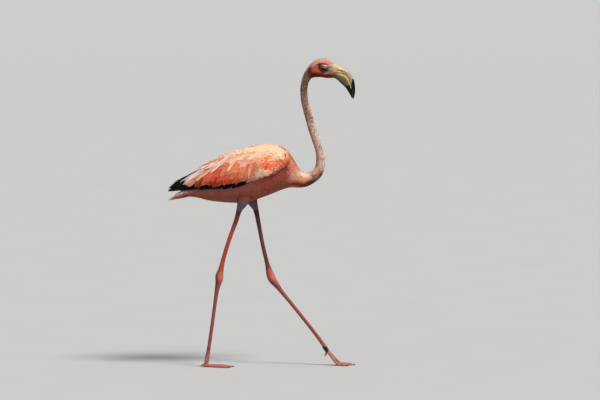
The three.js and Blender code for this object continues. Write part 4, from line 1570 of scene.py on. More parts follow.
def nearest_station(side, points):
    """The nearest place on the leg's line to each point: its station, its distance along the line,
    and how far the point is turned round it."""
    stations = np.linspace(LEG_START, LEG_END, 500)
    line = rail(LEG_CURVES[side], stations)[:, :3] * MM
    length = np.concatenate([[0], np.cumsum(np.linalg.norm(np.diff(line, axis=0), axis=1))])
    nearest = np.concatenate([
        np.argmin(((block[:, None] - line[None]) ** 2).sum(-1), 1)
        for block in np.array_split(points, max(1, len(points) // 4000))
    ])
    offset = points - line[nearest]
    return stations[nearest], length[nearest] / MM, np.arctan2(offset[:, 1], offset[:, 0])


def scute_depth(joint, points, normals, nearest):
    """Grooves between the scutes of leg and toes, in millimetres, and the joint's knobs taken off them."""
    station, along, facing = nearest
    foot = ramp(station, LEG_END - 0.6, LEG_END - 0.2)
    shift = np.where(np.abs(facing) < math.pi / 2, 0.0, 0.5)
    phase = along / SCUTE_LENGTH + shift + 0.12 * np.sin(facing * 2)
    groove = bell(phase, np.round(phase), SCUTE_GROOVE)
    plates = ramp(np.abs(np.cos(facing)), 0.3, 0.75) * (1 - foot)
    distance = np.hypot(points[:, 0] / MM - joint[0], points[:, 1] / MM - joint[1])
    toe_phase = distance / TOE_SCUTE_LENGTH
    toe_groove = bell(toe_phase, np.round(toe_phase), TOE_SCUTE_GROOVE)
    toe_top = foot * ramp(normals[:, 2], 0.3, 0.8) * ramp(distance, 8, 14)
    knob = bell(station, *ANKLE) + 0.6 * bell(station, *ANKLE_TOP)
    cut = SCUTE_DEPTH * groove * plates + TOE_SCUTE_DEPTH * toe_groove * toe_top
    return cut - KNOB_RISE * knob * np.cos(2 * facing)


def leg_skin(side):
    """One bare leg with its foot, made whole, with scutes cut across its front and back."""
    outline = FEET[side]["outline"]
    joint = foot_joint(side)
    toes = foot_toes(side)
    parts = [leg_loft(side), hind_toe_loft(joint, math.radians(FEET[side]["droop"]))]
    parts += [toe_loft(joint, angle, length, outline) for _, angle, length in toes]
    parts += [web_loft(joint, toes[i][1:], toes[i + 1][1:], outline) for i in (0, 1)]
    points, normals, triangles = reworked(*merged(parts), [
        ("REMESH", {"mode": "VOXEL", "voxel_size": LEG_VOXEL}),
        ("SMOOTH", {"factor": 0.5, "iterations": 3}),
    ])
    depth = scute_depth(joint, points, normals, nearest_station(side, points))
    points = points - normals * (depth * MM)[:, None]
    points, normals, triangles = reworked(points, triangles, [("DECIMATE", {"ratio": LEG_KEEP})])
    points[:, 2] = np.maximum(points[:, 2], 0)
    nearest = nearest_station(side, points)
    bake = leg_map(side, points, normals, triangles, nearest)
    return skin_part(points, triangles, leg_tint(side, points, nearest), bake)


DARK_PATCH = ((203, 52), (12, 9), -50)  # above the front foot: centre, reach and turn


def leg_tint(side, points, nearest):
    """Rose skin, redder above the ankle; the joint's front lighter as a painted highlight, painted shade on
    the upper shins, the front leg and the backs.
    """
    station, along, turn = nearest
    facing = np.cos(turn)
    near = side == "right"
    tint = layered(
        mix(LEG_ROSE, LEG_ORANGE, ramp(station, 8.6, 7.4)),
        # painted shadow of the body: both upper shins, and the front leg's whole shin
        (LEG_SHADE, (0.85 if near else 1.0) * ramp(station, 4.9, 3.9)),
        (LEG_SHADE, 0 if near else 0.8 * ramp(station, 8.4, 7.8)),
        # painted shade on the back of the tarsus and below the ankle, and a painted highlight on the
        # ankle's front
        (LEG_SHADE, 0.4 * ramp(facing, 0.0, -0.8) * ramp(station, 9.6, 10.6)),
        (ANKLE_HIGHLIGHT, bell(station, 9.2, 1.2) * ramp(facing, -0.9, 0.4)),
        (LEG_SHADE, 0.7 * bell(station, 10.6, 0.7) * ramp(facing, 0.5, -0.5)),
        (FOOT_ROSE, ramp(station, LEG_END - 2.6, LEG_END - 0.6)),
    )
    if not near:
        tint = mix(tint, FOOT_BLACK, ramp(spot(*side_view(points), *DARK_PATCH), 0.32, 0.48))
    rings = 0.5 + 0.5 * np.sin(along / SCUTE_LENGTH * 2 * math.pi)
    return tint * (1 - 0.07 * rings)[:, None]


LEG_MAP_LEFT = {"right": 0.742, "left": 0.872}  # edge of each leg's part of the baking map


def leg_map(side, points, normals, triangles, nearest):
    """A place on the baking map for each corner: round the leg, and flat for foot and sole."""
    left = LEG_MAP_LEFT[side]
    station, along, turn = nearest
    foot = station[triangles].max(1) > LEG_END - 1.2
    corner = turn[triangles]
    first = corner[:, :1]
    corner = first + (corner - first + math.pi) % (2 * math.pi) - math.pi
    leg_u = left + 0.09 * (corner + math.pi) / (2 * math.pi)
    leg_v = 0.02 + 0.6 * along[triangles] / along.max()
    feet = points[triangles[foot]].reshape(-1, 3)
    flat = (points[triangles] - feet.min(0)) / np.ptp(feet, axis=0).max() * 0.1
    sole = (normals[triangles].mean(1)[:, 2] < 0)[:, None]
    u = np.where(foot[:, None], left + flat[..., 0], leg_u)
    v = np.where(foot[:, None], 0.66 + flat[..., 1] + np.where(sole, 0.12, 0.0), leg_v)
    return np.stack([u, v], -1)


def claw_piece(side):
    """The three front claws of a foot: short curved cones just clear of the toes and the floor."""
    parts = []
    for _, angle, length in foot_toes(side):
        share = np.linspace(0, 1, CLAW_RINGS)
        distance = length + CLAW_GAP + share * CLAW_LENGTH
        height = CLAW_HEIGHT * (1 - share**1.6) + 0.7
        half = CLAW_HALF * (1 - share**1.4) + 0.3
        lift = CLAW_LIFT + 0.5 * np.sin(math.pi * share)
        parts.append(closed_loft(toe_rings(foot_joint(side), angle, distance, lift, height, half, 14)))
    points, quads = merged(parts)
    place = (points - points.min(0)) / (points.max(0) - points.min(0)).max()
    tint = mix(CLAW_BROWN, CLAW_BLACK, place[:, 0] * 0.8)
    uv = {"OFBake": 0.02 + 0.96 * place[:, :2]}
    piece = make_object(f"claws_{side}", points, [quads], tint=tint, uv=uv)
    look = horn_material(f"claw_{side}", 0.38, (1, 1, 6))
    finish_piece(piece, "claw_horn", look, [f"claw_{name}_{side}" for name, _, _ in TOES])


# ---- The skin as one piece ----


def add_skin():
    soft = [body_skin(), wing_skin(1), wing_skin(-1), eye_lids(1), eye_lids(-1)]
    legs = [leg_skin("right"), leg_skin("left")]
    faces = numbered_on([(part["points"], part["faces"]) for part in soft + legs])
    points, tint = (np.concatenate([part[key] for part in soft + legs]) for key in ("points", "tint"))
    bake = [part["bake"][part["faces"].reshape(-1)] for part in soft] + [part["bake"] for part in legs]
    quads, triangles = np.concatenate(faces[:len(soft)]), np.concatenate(faces[len(soft):])
    skin = make_object("skin", points, [quads, triangles], tint=tint, uv={"OFBake": np.concatenate(bake)})
    nodes = ["trunk", "tail", "neck_lower", "neck_middle", "neck_upper", "head", "wing_left", "wing_right"]
    limbs = ("thigh", "shin", "tarsus", "foot")
    nodes += [f"{part}_{side}" for part in limbs for side in ("right", "left")]
    finish_piece(skin, "leg_skin", skin_material(), nodes)
    skin.data.materials.append(leg_material())
    second = np.repeat(np.array([0, 1], np.int32), [len(quads), len(triangles)])
    skin.data.polygons.foreach_set("material_index", second)


# ---- Plumage of the body ----


def ring_roots(surface, start, end, gaps, rng):
    """Staggered, slightly uneven roots ring by ring; the gaps are functions of the station, in mm."""
    along_gap, around_gap = gaps
    angles = np.linspace(0.0, 2 * math.pi, 145)
    stations, around = [], []
    station, row_index = start, 0
    while station < end:
        s = np.full(len(angles), station)
        speed = np.linalg.norm(surface(s + 0.01, angles) - surface(s - 0.01, angles), axis=-1) / 0.02 / MM
        ring = surface(s, angles) / MM
        length = np.concatenate([[0], np.cumsum(np.linalg.norm(np.diff(ring, axis=0), axis=1))])
        count = max(3, int(round(length[-1] / around_gap(station))))
        place = (np.arange(count) + 0.5 * (row_index % 2) + rng.uniform(-0.28, 0.28, count)) / count
        turn = np.interp((place % 1.0) * length[-1], length, angles)
        keep = rng.uniform(0, 1, count) < np.interp(turn, angles, speed) / speed.max() + 0.12
        around.append(turn[keep])
        shift = rng.uniform(-0.25, 0.25, keep.sum()) * along_gap(station) / speed.max()
        stations.append(np.full(keep.sum(), station) + shift)
        station += along_gap(station) / speed.max()
        row_index += 1
    return np.concatenate(stations), np.concatenate(around)


def uneven(tint, rng, amount=0.06, warm=0.03):
    """Each feather a little lighter, darker, warmer or cooler than the rest."""
    light = 1 + rng.normal(0, amount, (len(tint), 1))
    shift = rng.normal(0, warm, (len(tint), 1)) * np.array([0.4, -0.6, -0.9])
    return np.clip(tint * light * (1 + shift), 0.003, 1)


def rim_of(tint, pale):
    """The lighter colour of a feather's rim."""
    return np.minimum(tint * (1 + 2.5 * pale), 1)


def table(stations, values):
    """A size that changes with the station."""
    return lambda station: np.interp(station, stations, values)


def body_tract(start, end, gaps, sizes, rng, keep=None, kind=BODY_VANE, pale=0.045, wander=3.0, **settings):
    """Feathers over a length of the body, lying towards the tail.
    gaps = (along, around), sizes = (length, width), each a function of the station, in mm."""
    s, a = ring_roots(head_surface, start, end, gaps, rng)
    point = head_surface(s, a)
    if keep is not None:
        kept = keep(s, a, point)
        s, a, point = s[kept], a[kept], point[kept]
    depth = coat_depth(s)
    count = len(s)
    tint = body_tint(s, a, point + rng.normal(0, wander * MM, point.shape))
    return grow(head_surface, 1, {
        "u": s, "v": a, "heading": unit(head_surface(s - 0.02, a) - head_surface(s + 0.02, a)),
        "length": sizes[0](s) * MM * rng.uniform(0.82, 1.18, count),
        "width": sizes[1](s) * MM * rng.uniform(0.85, 1.15, count),
        "low": -depth, "high": -depth * rng.uniform(0.0, 0.12, count),
        "turn": rng.normal(0, 0.08, count),
        "tint": uneven(tint, rng), "edge": uneven(rim_of(tint, pale), rng),
        "map": np.column_stack([a / (2 * math.pi), (s - start) / (end - start)]),
        **settings,
    }, kind)


def clear_of_wing(s, a, point):
    """All of the trunk but what a folded wing covers well; the rump shows between both wings."""
    x, z = side_view(point)
    out = np.abs(point[..., 1]) / MM
    top, bottom = wing_edges(x)
    wing = wing_surface(1)(point[..., 0], point[..., 2])[..., 1] / MM
    inside = (x > -236) & (x < 80) & (z < top - 9) & (z > bottom + 10)
    rump = (x < -150) & (out < 26)
    return ~(inside & (out < wing - 5) & ~rump)


def tables(stations, first, second):
    return table(stations, first), table(stations, second)


# gaps between roots along and around, then lengths and widths of the feathers, in millimetres
TRUNK_GAPS = tables([3.6, 11, 13.2], [7.6, 6.2, 4.6], [6.2, 5.2, 3.9])
TRUNK_SIZES = tables([3.6, 11, 13.2], [32, 24, 16], [13, 10.6, 7.2])
NECK_GAPS = tables([13, 15, 18, 28], [3.4, 2.6, 2.15, 1.9], [3.0, 2.4, 2.0, 1.75])
NECK_SIZES = tables([13, 15, 18, 28], [15, 12, 10, 7.5], [4.8, 3.6, 3.0, 2.6])
HEAD_GAPS = tables([27.5, 29, 33], [1.8, 1.5, 1.2], [1.6, 1.35, 1.1])
HEAD_SIZES = tables([27.5, 29, 33], [6.4, 5.0, 3.0], [2.5, 2.0, 1.5])


def feathered_face(s, a, point):
    """All of the head but the bare skin of the lores and round the eye."""
    x, z = side_view(point)
    side = np.abs(point[..., 1]) / MM > 5
    eye = np.hypot((x - EYE_CENTRE[0] - 1) / 1.1, z - EYE_CENTRE[2]) < 6.4
    lores = ((x - 220) / 20) ** 2 + ((z - 958 + (x - 217) * 0.1) / 11.5) ** 2 < 1
    return ~(side & (eye | lores))


# slot, gaps, sizes, look of the vanes, and how the tract differs from the plain one
TRUNK = ("body_plumage", TRUNK_GAPS, TRUNK_SIZES, (0.75, 0.55, 0.00005), {"keep": clear_of_wing})
NECK = (
    "neck_plumage", NECK_GAPS, NECK_SIZES, (0.8, 0.4, 0.00002),
    {"kind": SMALL_VANE, "pale": 0.06, "wander": 1.0, "camber": 0.08},
)
HEAD = (
    "neck_plumage", HEAD_GAPS, HEAD_SIZES, (0.8, 0.34, 0.00001, 0.06),
    {"kind": SMALL_VANE, "pale": 0.06, "wander": 1.3, "keep": feathered_face},
)
# name, first and last station, random seed, region
BODY_COATS = [
    ("trunk_coat_rear", 3.0, 8.0, 10, TRUNK),
    ("trunk_coat_front", 8.0, 13.2, 11, TRUNK),
    ("neck_coat_lower", 12.9, 19.0, 12, NECK),
    ("neck_coat_upper", 19.0, 27.7, 15, NECK),
    ("head_coat", 27.3, 33.1, 13, HEAD),
]


def body_coats():
    for name, start, end, seed, (slot, gaps, sizes, look, settings) in BODY_COATS:
        clump = body_tract(start, end, gaps, sizes, np.random.default_rng(seed), **settings)
        coat(name, slot, look, [clump])


# ---- Plumage of the thighs ----


def body_row(x):
    """The trunk's own row of measures at x."""
    return rail(BODY_LINE, np.interp(x, BODY_LINE[:12, 0], np.arange(12.0)))


def body_half(x, z):
    """Half the breadth of the trunk at x, z, in millimetres; 0 outside it."""
    row = body_row(x)
    middle, rise = (row[..., 1] + row[..., 3]) / 2, (row[..., 1] - row[..., 3]) / 2
    return row[..., 4] * np.sqrt(np.clip(1 - ((z - middle) / rise) ** 2, 0, 1))


THIGH_START, THIGH_END = 0.5, 3.3  # stations between which the thigh is feathered
THIGH_GAPS = tables([0, THIGH_END], [5.2, 2.2], [4.4, 1.9])
THIGH_SIZES = tables([0.4, 2.2, THIGH_END], [24, 17, 10], [9, 6.0, 3.0])
SEEDS = {
    "thigh_right": 19, "thigh_left": 18, "back": 61, "flight_left": 41, "flight_right": 42, "tail": 51,
}


def thigh_coat(side):
    """Loose feathers that hang from the belly over the thigh and end above the bare leg."""
    rng = np.random.default_rng(SEEDS[f"thigh_{side}"])
    surface = leg_surface(side)
    s, a = ring_roots(surface, THIGH_START, THIGH_END, THIGH_GAPS, rng)
    point = surface(s, a) / MM
    seen = np.abs(point[:, 1]) > body_half(point[:, 0], point[:, 2]) - 3
    s, a, point = s[seen], a[seen], point[seen]
    count = len(s)
    blend = ramp(point[:, 2], 512, 548)
    heading = unit(surface(s + 0.02, a) - surface(s - 0.02, a))
    heading = unit(heading + np.array([-1.6, 0, 0.2]) * blend[:, None])
    taper = ramp(s, 2.0, THIGH_END)
    depth = (5.0 - 4.0 * taper) * MM
    # painted shade: a grey-pink thigh painted dark as in the body's shadow, darker still towards the shin
    tint = mix(THIGH_SHADE_GREY, 0.8 * BELLY_SHADE_BROWN, ramp(point[:, 2], 532, 552))
    tint = mix(tint, LEG_SHADE, 0.9 * ramp(point[:, 2], 518, 504))
    tract = {
        "u": s, "v": a, "heading": heading,
        "length": THIGH_SIZES[0](s) * MM * rng.uniform(0.75, 1.25, count),
        "width": THIGH_SIZES[1](s) * MM * rng.uniform(0.85, 1.15, count),
        "low": -depth, "high": 0.12 * MM * rng.uniform(-4, 1.5, count), "turn": rng.normal(0, 0.16, count),
        "tint": uneven(tint, rng, 0.09), "edge": uneven(rim_of(tint, 0.03), rng),
        "map": np.column_stack([a / (2 * math.pi), (s - 0.4) / 3.0]),
    }
    coat(f"thigh_coat_{side}", "body_plumage", (0.78, 0.55, 0.00004), [grow(surface, 1, tract, BODY_VANE)])


# ---- Plumage of the wings ----

MAP_START, MAP_LENGTH = 310, 420  # x of the baking map's edge behind the wings, and its length in mm


def wing_tract(surface, side, feathers, width, heights, tint, edge, rng, kind, spread=0.05, **settings):
    """Feathers on a folded wing. `feathers` holds roots and ways from root to tip, [x, z] in mm."""
    root, way = feathers
    count = len(root)
    top, bottom = wing_edges(root[:, 0])
    down = (top - root[:, 1]) / (top - bottom)
    tract = {
        "u": root[:, 0] * MM, "v": root[:, 1] * MM,
        "way": way * MM,
        "length": np.linalg.norm(way, axis=1) * MM,
        "width": width * MM * rng.uniform(0.9, 1.1, count),
        "low": np.full(count, heights[0] * MM), "high": (heights[1] + rng.uniform(-0.3, 0.3, count)) * MM,
        "turn": rng.normal(0, spread, count),
        "tint": uneven(tint, rng, 0.05), "edge": uneven(edge, rng, 0.04),
        "map": np.column_stack([(root[:, 0] + MAP_START) / MAP_LENGTH, 0.1 + 0.8 * down]),
        **settings,
    }
    return grow(surface, -side, tract, kind)


def row(roots, tips, count, rng, jitter=1.4):
    """Feathers in a row, from a line of roots to a line of tips, [x, z] in mm."""
    place = (np.arange(count) + 0.5 + rng.uniform(-0.25, 0.25, count)) / count
    root = rail(np.array(roots, float), place * (len(roots) - 1))
    tip = rail(np.array(tips, float), place * (len(tips) - 1)) + rng.normal(0, jitter, (count, 2))
    return root, tip - root


WING_SPAN, WING_RISE = (-256, 98), (556, 722)  # x and z between which small feathers are laid out


def patch(gap, keep, angle, length, rng):
    """Small feathers over a part of the wing. `angle` below the horizontal and `length` follow x, z."""
    xs, zs = np.meshgrid(np.arange(*WING_SPAN, gap), np.arange(*WING_RISE, 0.8 * gap))
    xs = xs + gap / 2 * (np.arange(len(xs))[:, None] % 2)
    root = np.column_stack([xs.reshape(-1), zs.reshape(-1)])
    root = root + rng.uniform(-0.26, 0.26, root.shape) * gap
    root = root[keep(root[:, 0], root[:, 1])]
    turn = np.radians(angle(root[:, 0], root[:, 1]))
    reach = length(root[:, 0]) * rng.uniform(0.85, 1.15, len(root))
    return root, np.column_stack([-np.cos(turn), -np.sin(turn)]) * reach[:, None]


def tips_tint(feathers, rng, wander=3.0):
    """Each feather takes the marking of the place where its tip half lies."""
    root, way = feathers
    place = root + 0.75 * way + rng.normal(0, wander, root.shape)
    return wing_tint(place[:, 0], place[:, 1])


def some(tint, share, colour, rng):
    """Gives a share of the feathers another colour."""
    chosen = rng.uniform(0, 1, len(tint)) < share
    return mix(tint, colour, np.where(chosen, rng.uniform(0.6, 1.0, len(tint)), 0))


COVERT_ANGLES = table([-250, -190, -120, -40, 20, 60, 97], [34, 44, 54, 58, 52, 40, 30])


def covert_angle(x, z):
    """How steeply small feathers lie: along the back's line above, more steeply below."""
    top, _ = wing_edges(x)
    above, _ = wing_edges(x + 10)
    back = np.degrees(np.arctan2(above - top, 10)) + 5
    return back + (COVERT_ANGLES(x) - back) * ramp(z, top - 8, top - 48)


def feather_rows(side, rows, rng, kind, **settings):
    """Rows of long feathers on a folded wing, the lowest first. Each row: roots, tips, count,
    width, heights of root and tip, colour (or the wing's own markings), a second colour, its share."""
    clumps = []
    for roots, tips, count, width, heights, colour, other, share in rows:
        feathers = row(roots, tips, count, rng)
        tint = tips_tint(feathers, rng) if colour is None else np.tile(colour, (count, 1))
        tint = some(tint, share, other, rng)
        edge = mix(tint, ROSE_WHITE, 0.14 * tint[:, 0])
        clumps.append(wing_tract(
            wing_surface(side), side, feathers, width, heights, tint, edge, rng, kind, **settings,
        ))
    return clumps


def small_feathers(side, rng, gap, keep, lengths, widths, heights, pale):
    """A patch of small feathers on a folded wing, in the wing's own markings."""
    feathers = patch(gap, keep, covert_angle, lengths, rng)
    tint = tips_tint(feathers, rng)
    return wing_tract(
        wing_surface(side), side, feathers, widths(feathers[0][:, 0]), heights, tint,
        rim_of(tint, pale), rng, BODY_VANE, spread=0.07,
    )


WING_LOOK = (0.72, 0.6, 0.00007)  # roughness, spacing and depth of the barbs
# greater, median and lesser coverts
COVERT_ROWS = [
    ([(-26, 640), (-60, 642), (-88, 640), (-112, 634), (-138, 624), (-160, 614), (-172, 608)],
     [(-58, 601), (-90, 590), (-116, 592), (-138, 583), (-164, 580), (-188, 589), (-214, 580)],
     28, 12, (-5.5, -0.6), None, ORANGE_BROWN, 0.3),
    ([(4, 660), (-36, 660), (-78, 654), (-116, 644), (-150, 634), (-176, 622)],
     [(-26, 616), (-62, 607), (-102, 604), (-142, 597), (-180, 596), (-213, 588)],
     30, 11, (-5.0, -0.2), None, SALMON, 0.16),
    ([(16, 684), (-26, 684), (-66, 674), (-104, 662), (-140, 650), (-166, 640)],
     [(-12, 636), (-48, 626), (-86, 622), (-126, 614), (-164, 609), (-198, 603)],
     30, 10, (-4.5, 0.2), None, SALMON, 0.25),
]
# the feathers along the wing's lower fore edge
FORE_ROWS = [
    ([(92, 660), (66, 644), (28, 632), (-20, 620)], [(64, 643), (30, 628), (-14, 615), (-62, 601)],
     44, 8.5, (-4.5, -0.3), None, ROSE_BROWN, 0.15),
    ([(74, 642), (34, 626), (-8, 613)], [(36, 624), (-8, 609), (-56, 596)],
     26, 8.5, (-6.0, -1.6), None, ROSE_BROWN, 0.3),
]
LESSER_FLOOR = table([-210, -150, -90, -46, 0, 97], [650, 646, 648, 640, 628, 655])


def lesser_place(x, z):
    """Where the small coverts stand."""
    top, bottom = wing_edges(x)
    return (z < top - 4) & (z > np.maximum(bottom + 9, LESSER_FLOOR(x))) & (x < 94) & (x > -196)


# long feathers of the wing's hind part, then the scapulars that fall over the coverts
SCAPULAR_ROWS = [
    # painted shade: these low hind feathers are darkened
    ([(-190, 610), (-180, 606)], [(-218, 580), (-204, 577)],
     3, 13, (-3.0, -0.2), mix(ORANGE_BROWN, COVERT_UNDER_SHADE, 0.5), ORANGE_BROWN, 0.5),
    ([(-194, 618), (-202, 608)], [(-235, 581), (-250, 586)],
     4, 15, (-2.4, 0.4), mix(SALMON, NECK_PINK, 0.4), SALMON, 0.5),
    ([(-160, 656), (-168, 650), (-176, 644), (-180, 637), (-178, 629)],
     [(-221, 619), (-243, 607), (-264, 595), (-253, 598), (-236, 603)],
     10, 7.5, (-2.2, 1.0), LILAC_WHITE, ROSE_WHITE, 0.3),
    ([(-158, 646), (-166, 634)], [(-206, 606), (-217, 601)],
     5, 5.5, (-1.8, 1.4), mix(PEACH_PALE, ORANGE, 0.15), ORANGE, 0.4),
    ([(-104, 672), (-124, 664), (-140, 656)], [(-158, 629), (-176, 625), (-200, 616)],
     7, 10, (-2.2, 1.0), mix(ROSE_WHITE, SALMON, 0.6), ROSE_WHITE, 0.25),
    ([(-74, 677), (-88, 673)], [(-101, 634), (-114, 629)],
     3, 7, (-2.0, 1.2), mix(PALE_GREEN, PEACH, 0.6), PEACH, 0.4),
    ([(-40, 677), (-58, 677)], [(-58, 645), (-71, 639)],
     4, 6.5, (-2.0, 1.2), mix(ROSE_WHITE, SALMON, 0.6), SALMON, 0.25),
    ([(-28, 668), (-42, 670)], [(-48, 612), (-64, 609)],
     4, 8, (-2.0, 1.0), ORANGE, mix(ORANGE, PEACH, 0.5), 0.3),
    ([(-70, 690), (-104, 680), (-136, 668), (-152, 660)],
     [(-130, 653), (-160, 642), (-188, 633), (-206, 625)],
     15, 9.5, (-1.8, 1.4), ROSE_WHITE, mix(PEACH, SALMON, 0.5), 0.22),
    ([(-150, 657), (-156, 653)], [(-188, 643), (-194, 638)],
     2, 6, (-1.6, 1.8), mix(ORANGE_BROWN, SALMON, 0.5), SALMON, 0.3),
    ([(4, 698), (-40, 694), (-84, 684)], [(-48, 668), (-92, 664), (-140, 654)],
     11, 11, (-1.8, 1.2), PEACH, PEACH_PALE, 0.5),
]
SCAPULAR_BAND = table([-200, -100, 0, 80], [9, 18, 24, 14])  # breadth of the small scapulars' band


def upper_place(x, z):
    """Where the small scapulars stand, along the wing's upper edge."""
    top, _ = wing_edges(x)
    return (z < top - 2) & (z > top - SCAPULAR_BAND(x)) & (x > -178) & (x < 80)


# name, random seed of the left wing, rows of long feathers with their settings, rows that lie over
# them, and for the small ones between: gap, place, lengths, widths, heights and paleness of the rims
WING_COATS = [
    (
        "wing_coverts", 21, COVERT_ROWS, {"shaft": -0.12, "bend": 0.12}, FORE_ROWS,
        (6.6, lesser_place, table([-200, 0, 95], [34, 25, 18]), table([-200, 0, 95], [13.5, 11, 9]),
         (-4.6, 0.2), 0.06),
    ),
    (
        # base: darker feather roots, partly painted shade
        "scapulars", 31, SCAPULAR_ROWS, {"shaft": -0.1, "bend": 0.1, "base": 0.22}, [],
        (6.8, upper_place, table([-200, -60, 70], [32, 32, 24]), table([-200, 70], [13, 11.5]),
         (-4.4, 0.6), 0.05),
    ),
]


def wing_coats(side):
    """Coverts, then the long pale scapulars that fall from the shoulder over the folded wing."""
    for name, seed, rows, settings, upper_rows, small in WING_COATS:
        rng = np.random.default_rng(seed + (side < 0))
        clumps = feather_rows(side, rows, rng, LONG_VANE, **settings)
        clumps.append(small_feathers(side, rng, *small))
        clumps += feather_rows(side, upper_rows, rng, BODY_VANE, spread=0.05)
        coat(f"{name}_{side_name(side)}", "wing_plumage", WING_LOOK, clumps)


def back_surface(x, y):
    """The saddle over both wings' upper edges, by x and y in metres."""
    x_mm, y_mm = x / MM, np.abs(y) / MM
    top, _ = wing_edges(x_mm)
    out = np.interp(x_mm, WING_DENSE[:, 0], WING_DENSE[:, 3])
    ridge = np.maximum(top, body_row(x_mm)[..., 1]) - 0.6
    beyond = np.maximum(y_mm - out, 0)
    z = ridge - 0.004 * y_mm**2 - 0.35 * beyond**2 / (beyond + 6) - 8 * ramp(x_mm, -186, -212)
    return np.stack([x, y, z * MM], -1)


BACK_BREADTH = table([-229, -190, -140, -60, -20], [8, 10, 16, 30, 34])  # half of it, by x
BACK_SPAN, BACK_SIDES = (-228.5, -18), (-32, 33)  # x and y between which its feathers are laid out
BACK_GAP, BACK_SIDE_GAP = 8.5, 6.2
BACK_LENGTH, BACK_WIDTH = 32, 12.5  # of a feather


def back_coat():
    """Feathers of the back, which close the gap between the folded wings."""
    rng = np.random.default_rng(SEEDS["back"])
    xs, ys = np.meshgrid(np.arange(*BACK_SPAN, BACK_GAP), np.arange(*BACK_SIDES, BACK_SIDE_GAP))
    xs = xs + 4 * (np.arange(len(ys))[:, None] % 2)
    x = xs.reshape(-1) + rng.uniform(-2, 2, xs.size)
    y = ys.reshape(-1) + rng.uniform(-1.5, 1.5, xs.size)
    kept = np.abs(y) < BACK_BREADTH(x)
    x, y = x[kept], y[kept]
    count = len(x)
    top = mix(ROSE_WHITE, PEACH_PALE, ramp(x, -150, -60))
    tint = some(mix(top, PEACH, rng.uniform(0, 0.5, count)), 0.3, mix(PEACH, SALMON, 0.25), rng)
    behind = ramp(x, -120, -180)
    heading = unit(np.column_stack([-np.ones(count), -0.004 * y, np.zeros(count)]))
    tract = {
        "u": x * MM, "v": y * MM, "heading": heading,
        "length": (BACK_LENGTH - 6 * behind) * MM * rng.uniform(0.85, 1.1, count),
        "width": BACK_WIDTH * MM * rng.uniform(0.9, 1.1, count),
        "low": np.full(count, -3.4 * MM), "high": rng.uniform(-0.4, 0.5, count) * MM,
        "turn": rng.normal(0, 0.06, count),
        "tint": uneven(tint, rng), "edge": uneven(rim_of(tint, 0.05), rng),
        "map": np.column_stack([(x + MAP_START) / MAP_LENGTH, 0.5 + y / 90]), "camber": 0.07,
    }
    coat("back_coat", "body_plumage", (0.74, 0.6, 0.00007), [grow(back_surface, 1, tract, LONG_VANE)])


# the sheet (0 the lower, 1 the wing's own), roots, tips, count, width, heights of root and tip, kind
FLIGHT_ROWS = [
    (0, [(0, 616), (-20, 610), (-45, 606), (-95, 604), (-145, 602), (-190, 600)],
     [(-46, 599), (-68, 589), (-88, 575), (-150, 571), (-200, 571), (-240, 574)],
     24, 11, (-1.2, 1.2), LONG_VANE),
    (0, [(-130, 588), (-140, 590), (-150, 592), (-160, 596)],
     [(-266, 573), (-298, 565), (-299, 569), (-289, 582)], 11, 12, (-1.5, 1.8), POINTED_VANE),
    (1, [(-162, 652), (-172, 641), (-180, 626), (-184, 612)],
     [(-228, 620.5), (-254, 606.5), (-281, 590.5), (-300, 572)], 12, 11, (-4.6, -1.6), POINTED_VANE),
]
FLIGHT_SETTINGS = {"shaft": 0.6, "rim": 0.3, "rise": 0.7, "spread": 0.015}


def flight_feathers(side):
    """Black secondaries along the wing's lower edge and primaries that reach past the tail."""
    name = side_name(side)
    rng = np.random.default_rng(SEEDS[f"flight_{name}"])
    sheets = (primary_surface(side), wing_surface(side))
    clumps = []
    for sheet, roots, tips, count, width, heights, kind in FLIGHT_ROWS:
        tint = np.tile(FLIGHT_BLACK, (count, 1))
        feathers = row(roots, tips, count, rng, 0.6)
        clumps.append(wing_tract(
            sheets[sheet], side, feathers, width, heights, tint, 1.6 * tint, rng, kind, **FLIGHT_SETTINGS,
        ))
    look = (0.6, 0.7, 0.00008, 0.08)
    coat(f"flight_feathers_{name}", "flight_feathers", look, clumps, [f"primaries_{name}"])


# ---- Tail ----


def tail_surface(x, y):
    """The sheet of the folded tail feathers by x and y in metres, roofed along its middle."""
    z = 534 + 0.42 * (x / MM + 301) - 5 * (1 - np.exp(-((y / MM / 7) ** 2)))
    return np.stack([x, y, z * MM], -1)


def tail_side(side):
    """The sheet of the outer tail feathers, folded down the sides, by x and z in metres."""
    return lambda x, z: np.stack([x, side * (1.5 * MM + 0.3 * np.maximum(x + 0.301, 0)) + 0 * z, z], -1)


# lines of the outer feathers' roots and tips, x and z
TAIL_ROOTS = [(-222, 566), (-222, 558), (-222, 552)]
TAIL_TIPS = [(-300.5, 534), (-297, 536), (-286, 539)]
OUTER_FEATHERS = 5  # on each side
TAIL_FEATHERS = 12  # in the middle sheet
TAIL_ROOT_X, TAIL_TIP_X = -196.0, -300.5
TAIL_WIDTH = 15  # of a feather
# tail coverts: last station, gaps along and around, length and width, whether above, seed
TAIL_COVERTS = [(6.0, (8, 7), (36, 12), False, 52), (4.6, (7.5, 6.5), (30, 11), True, 53)]


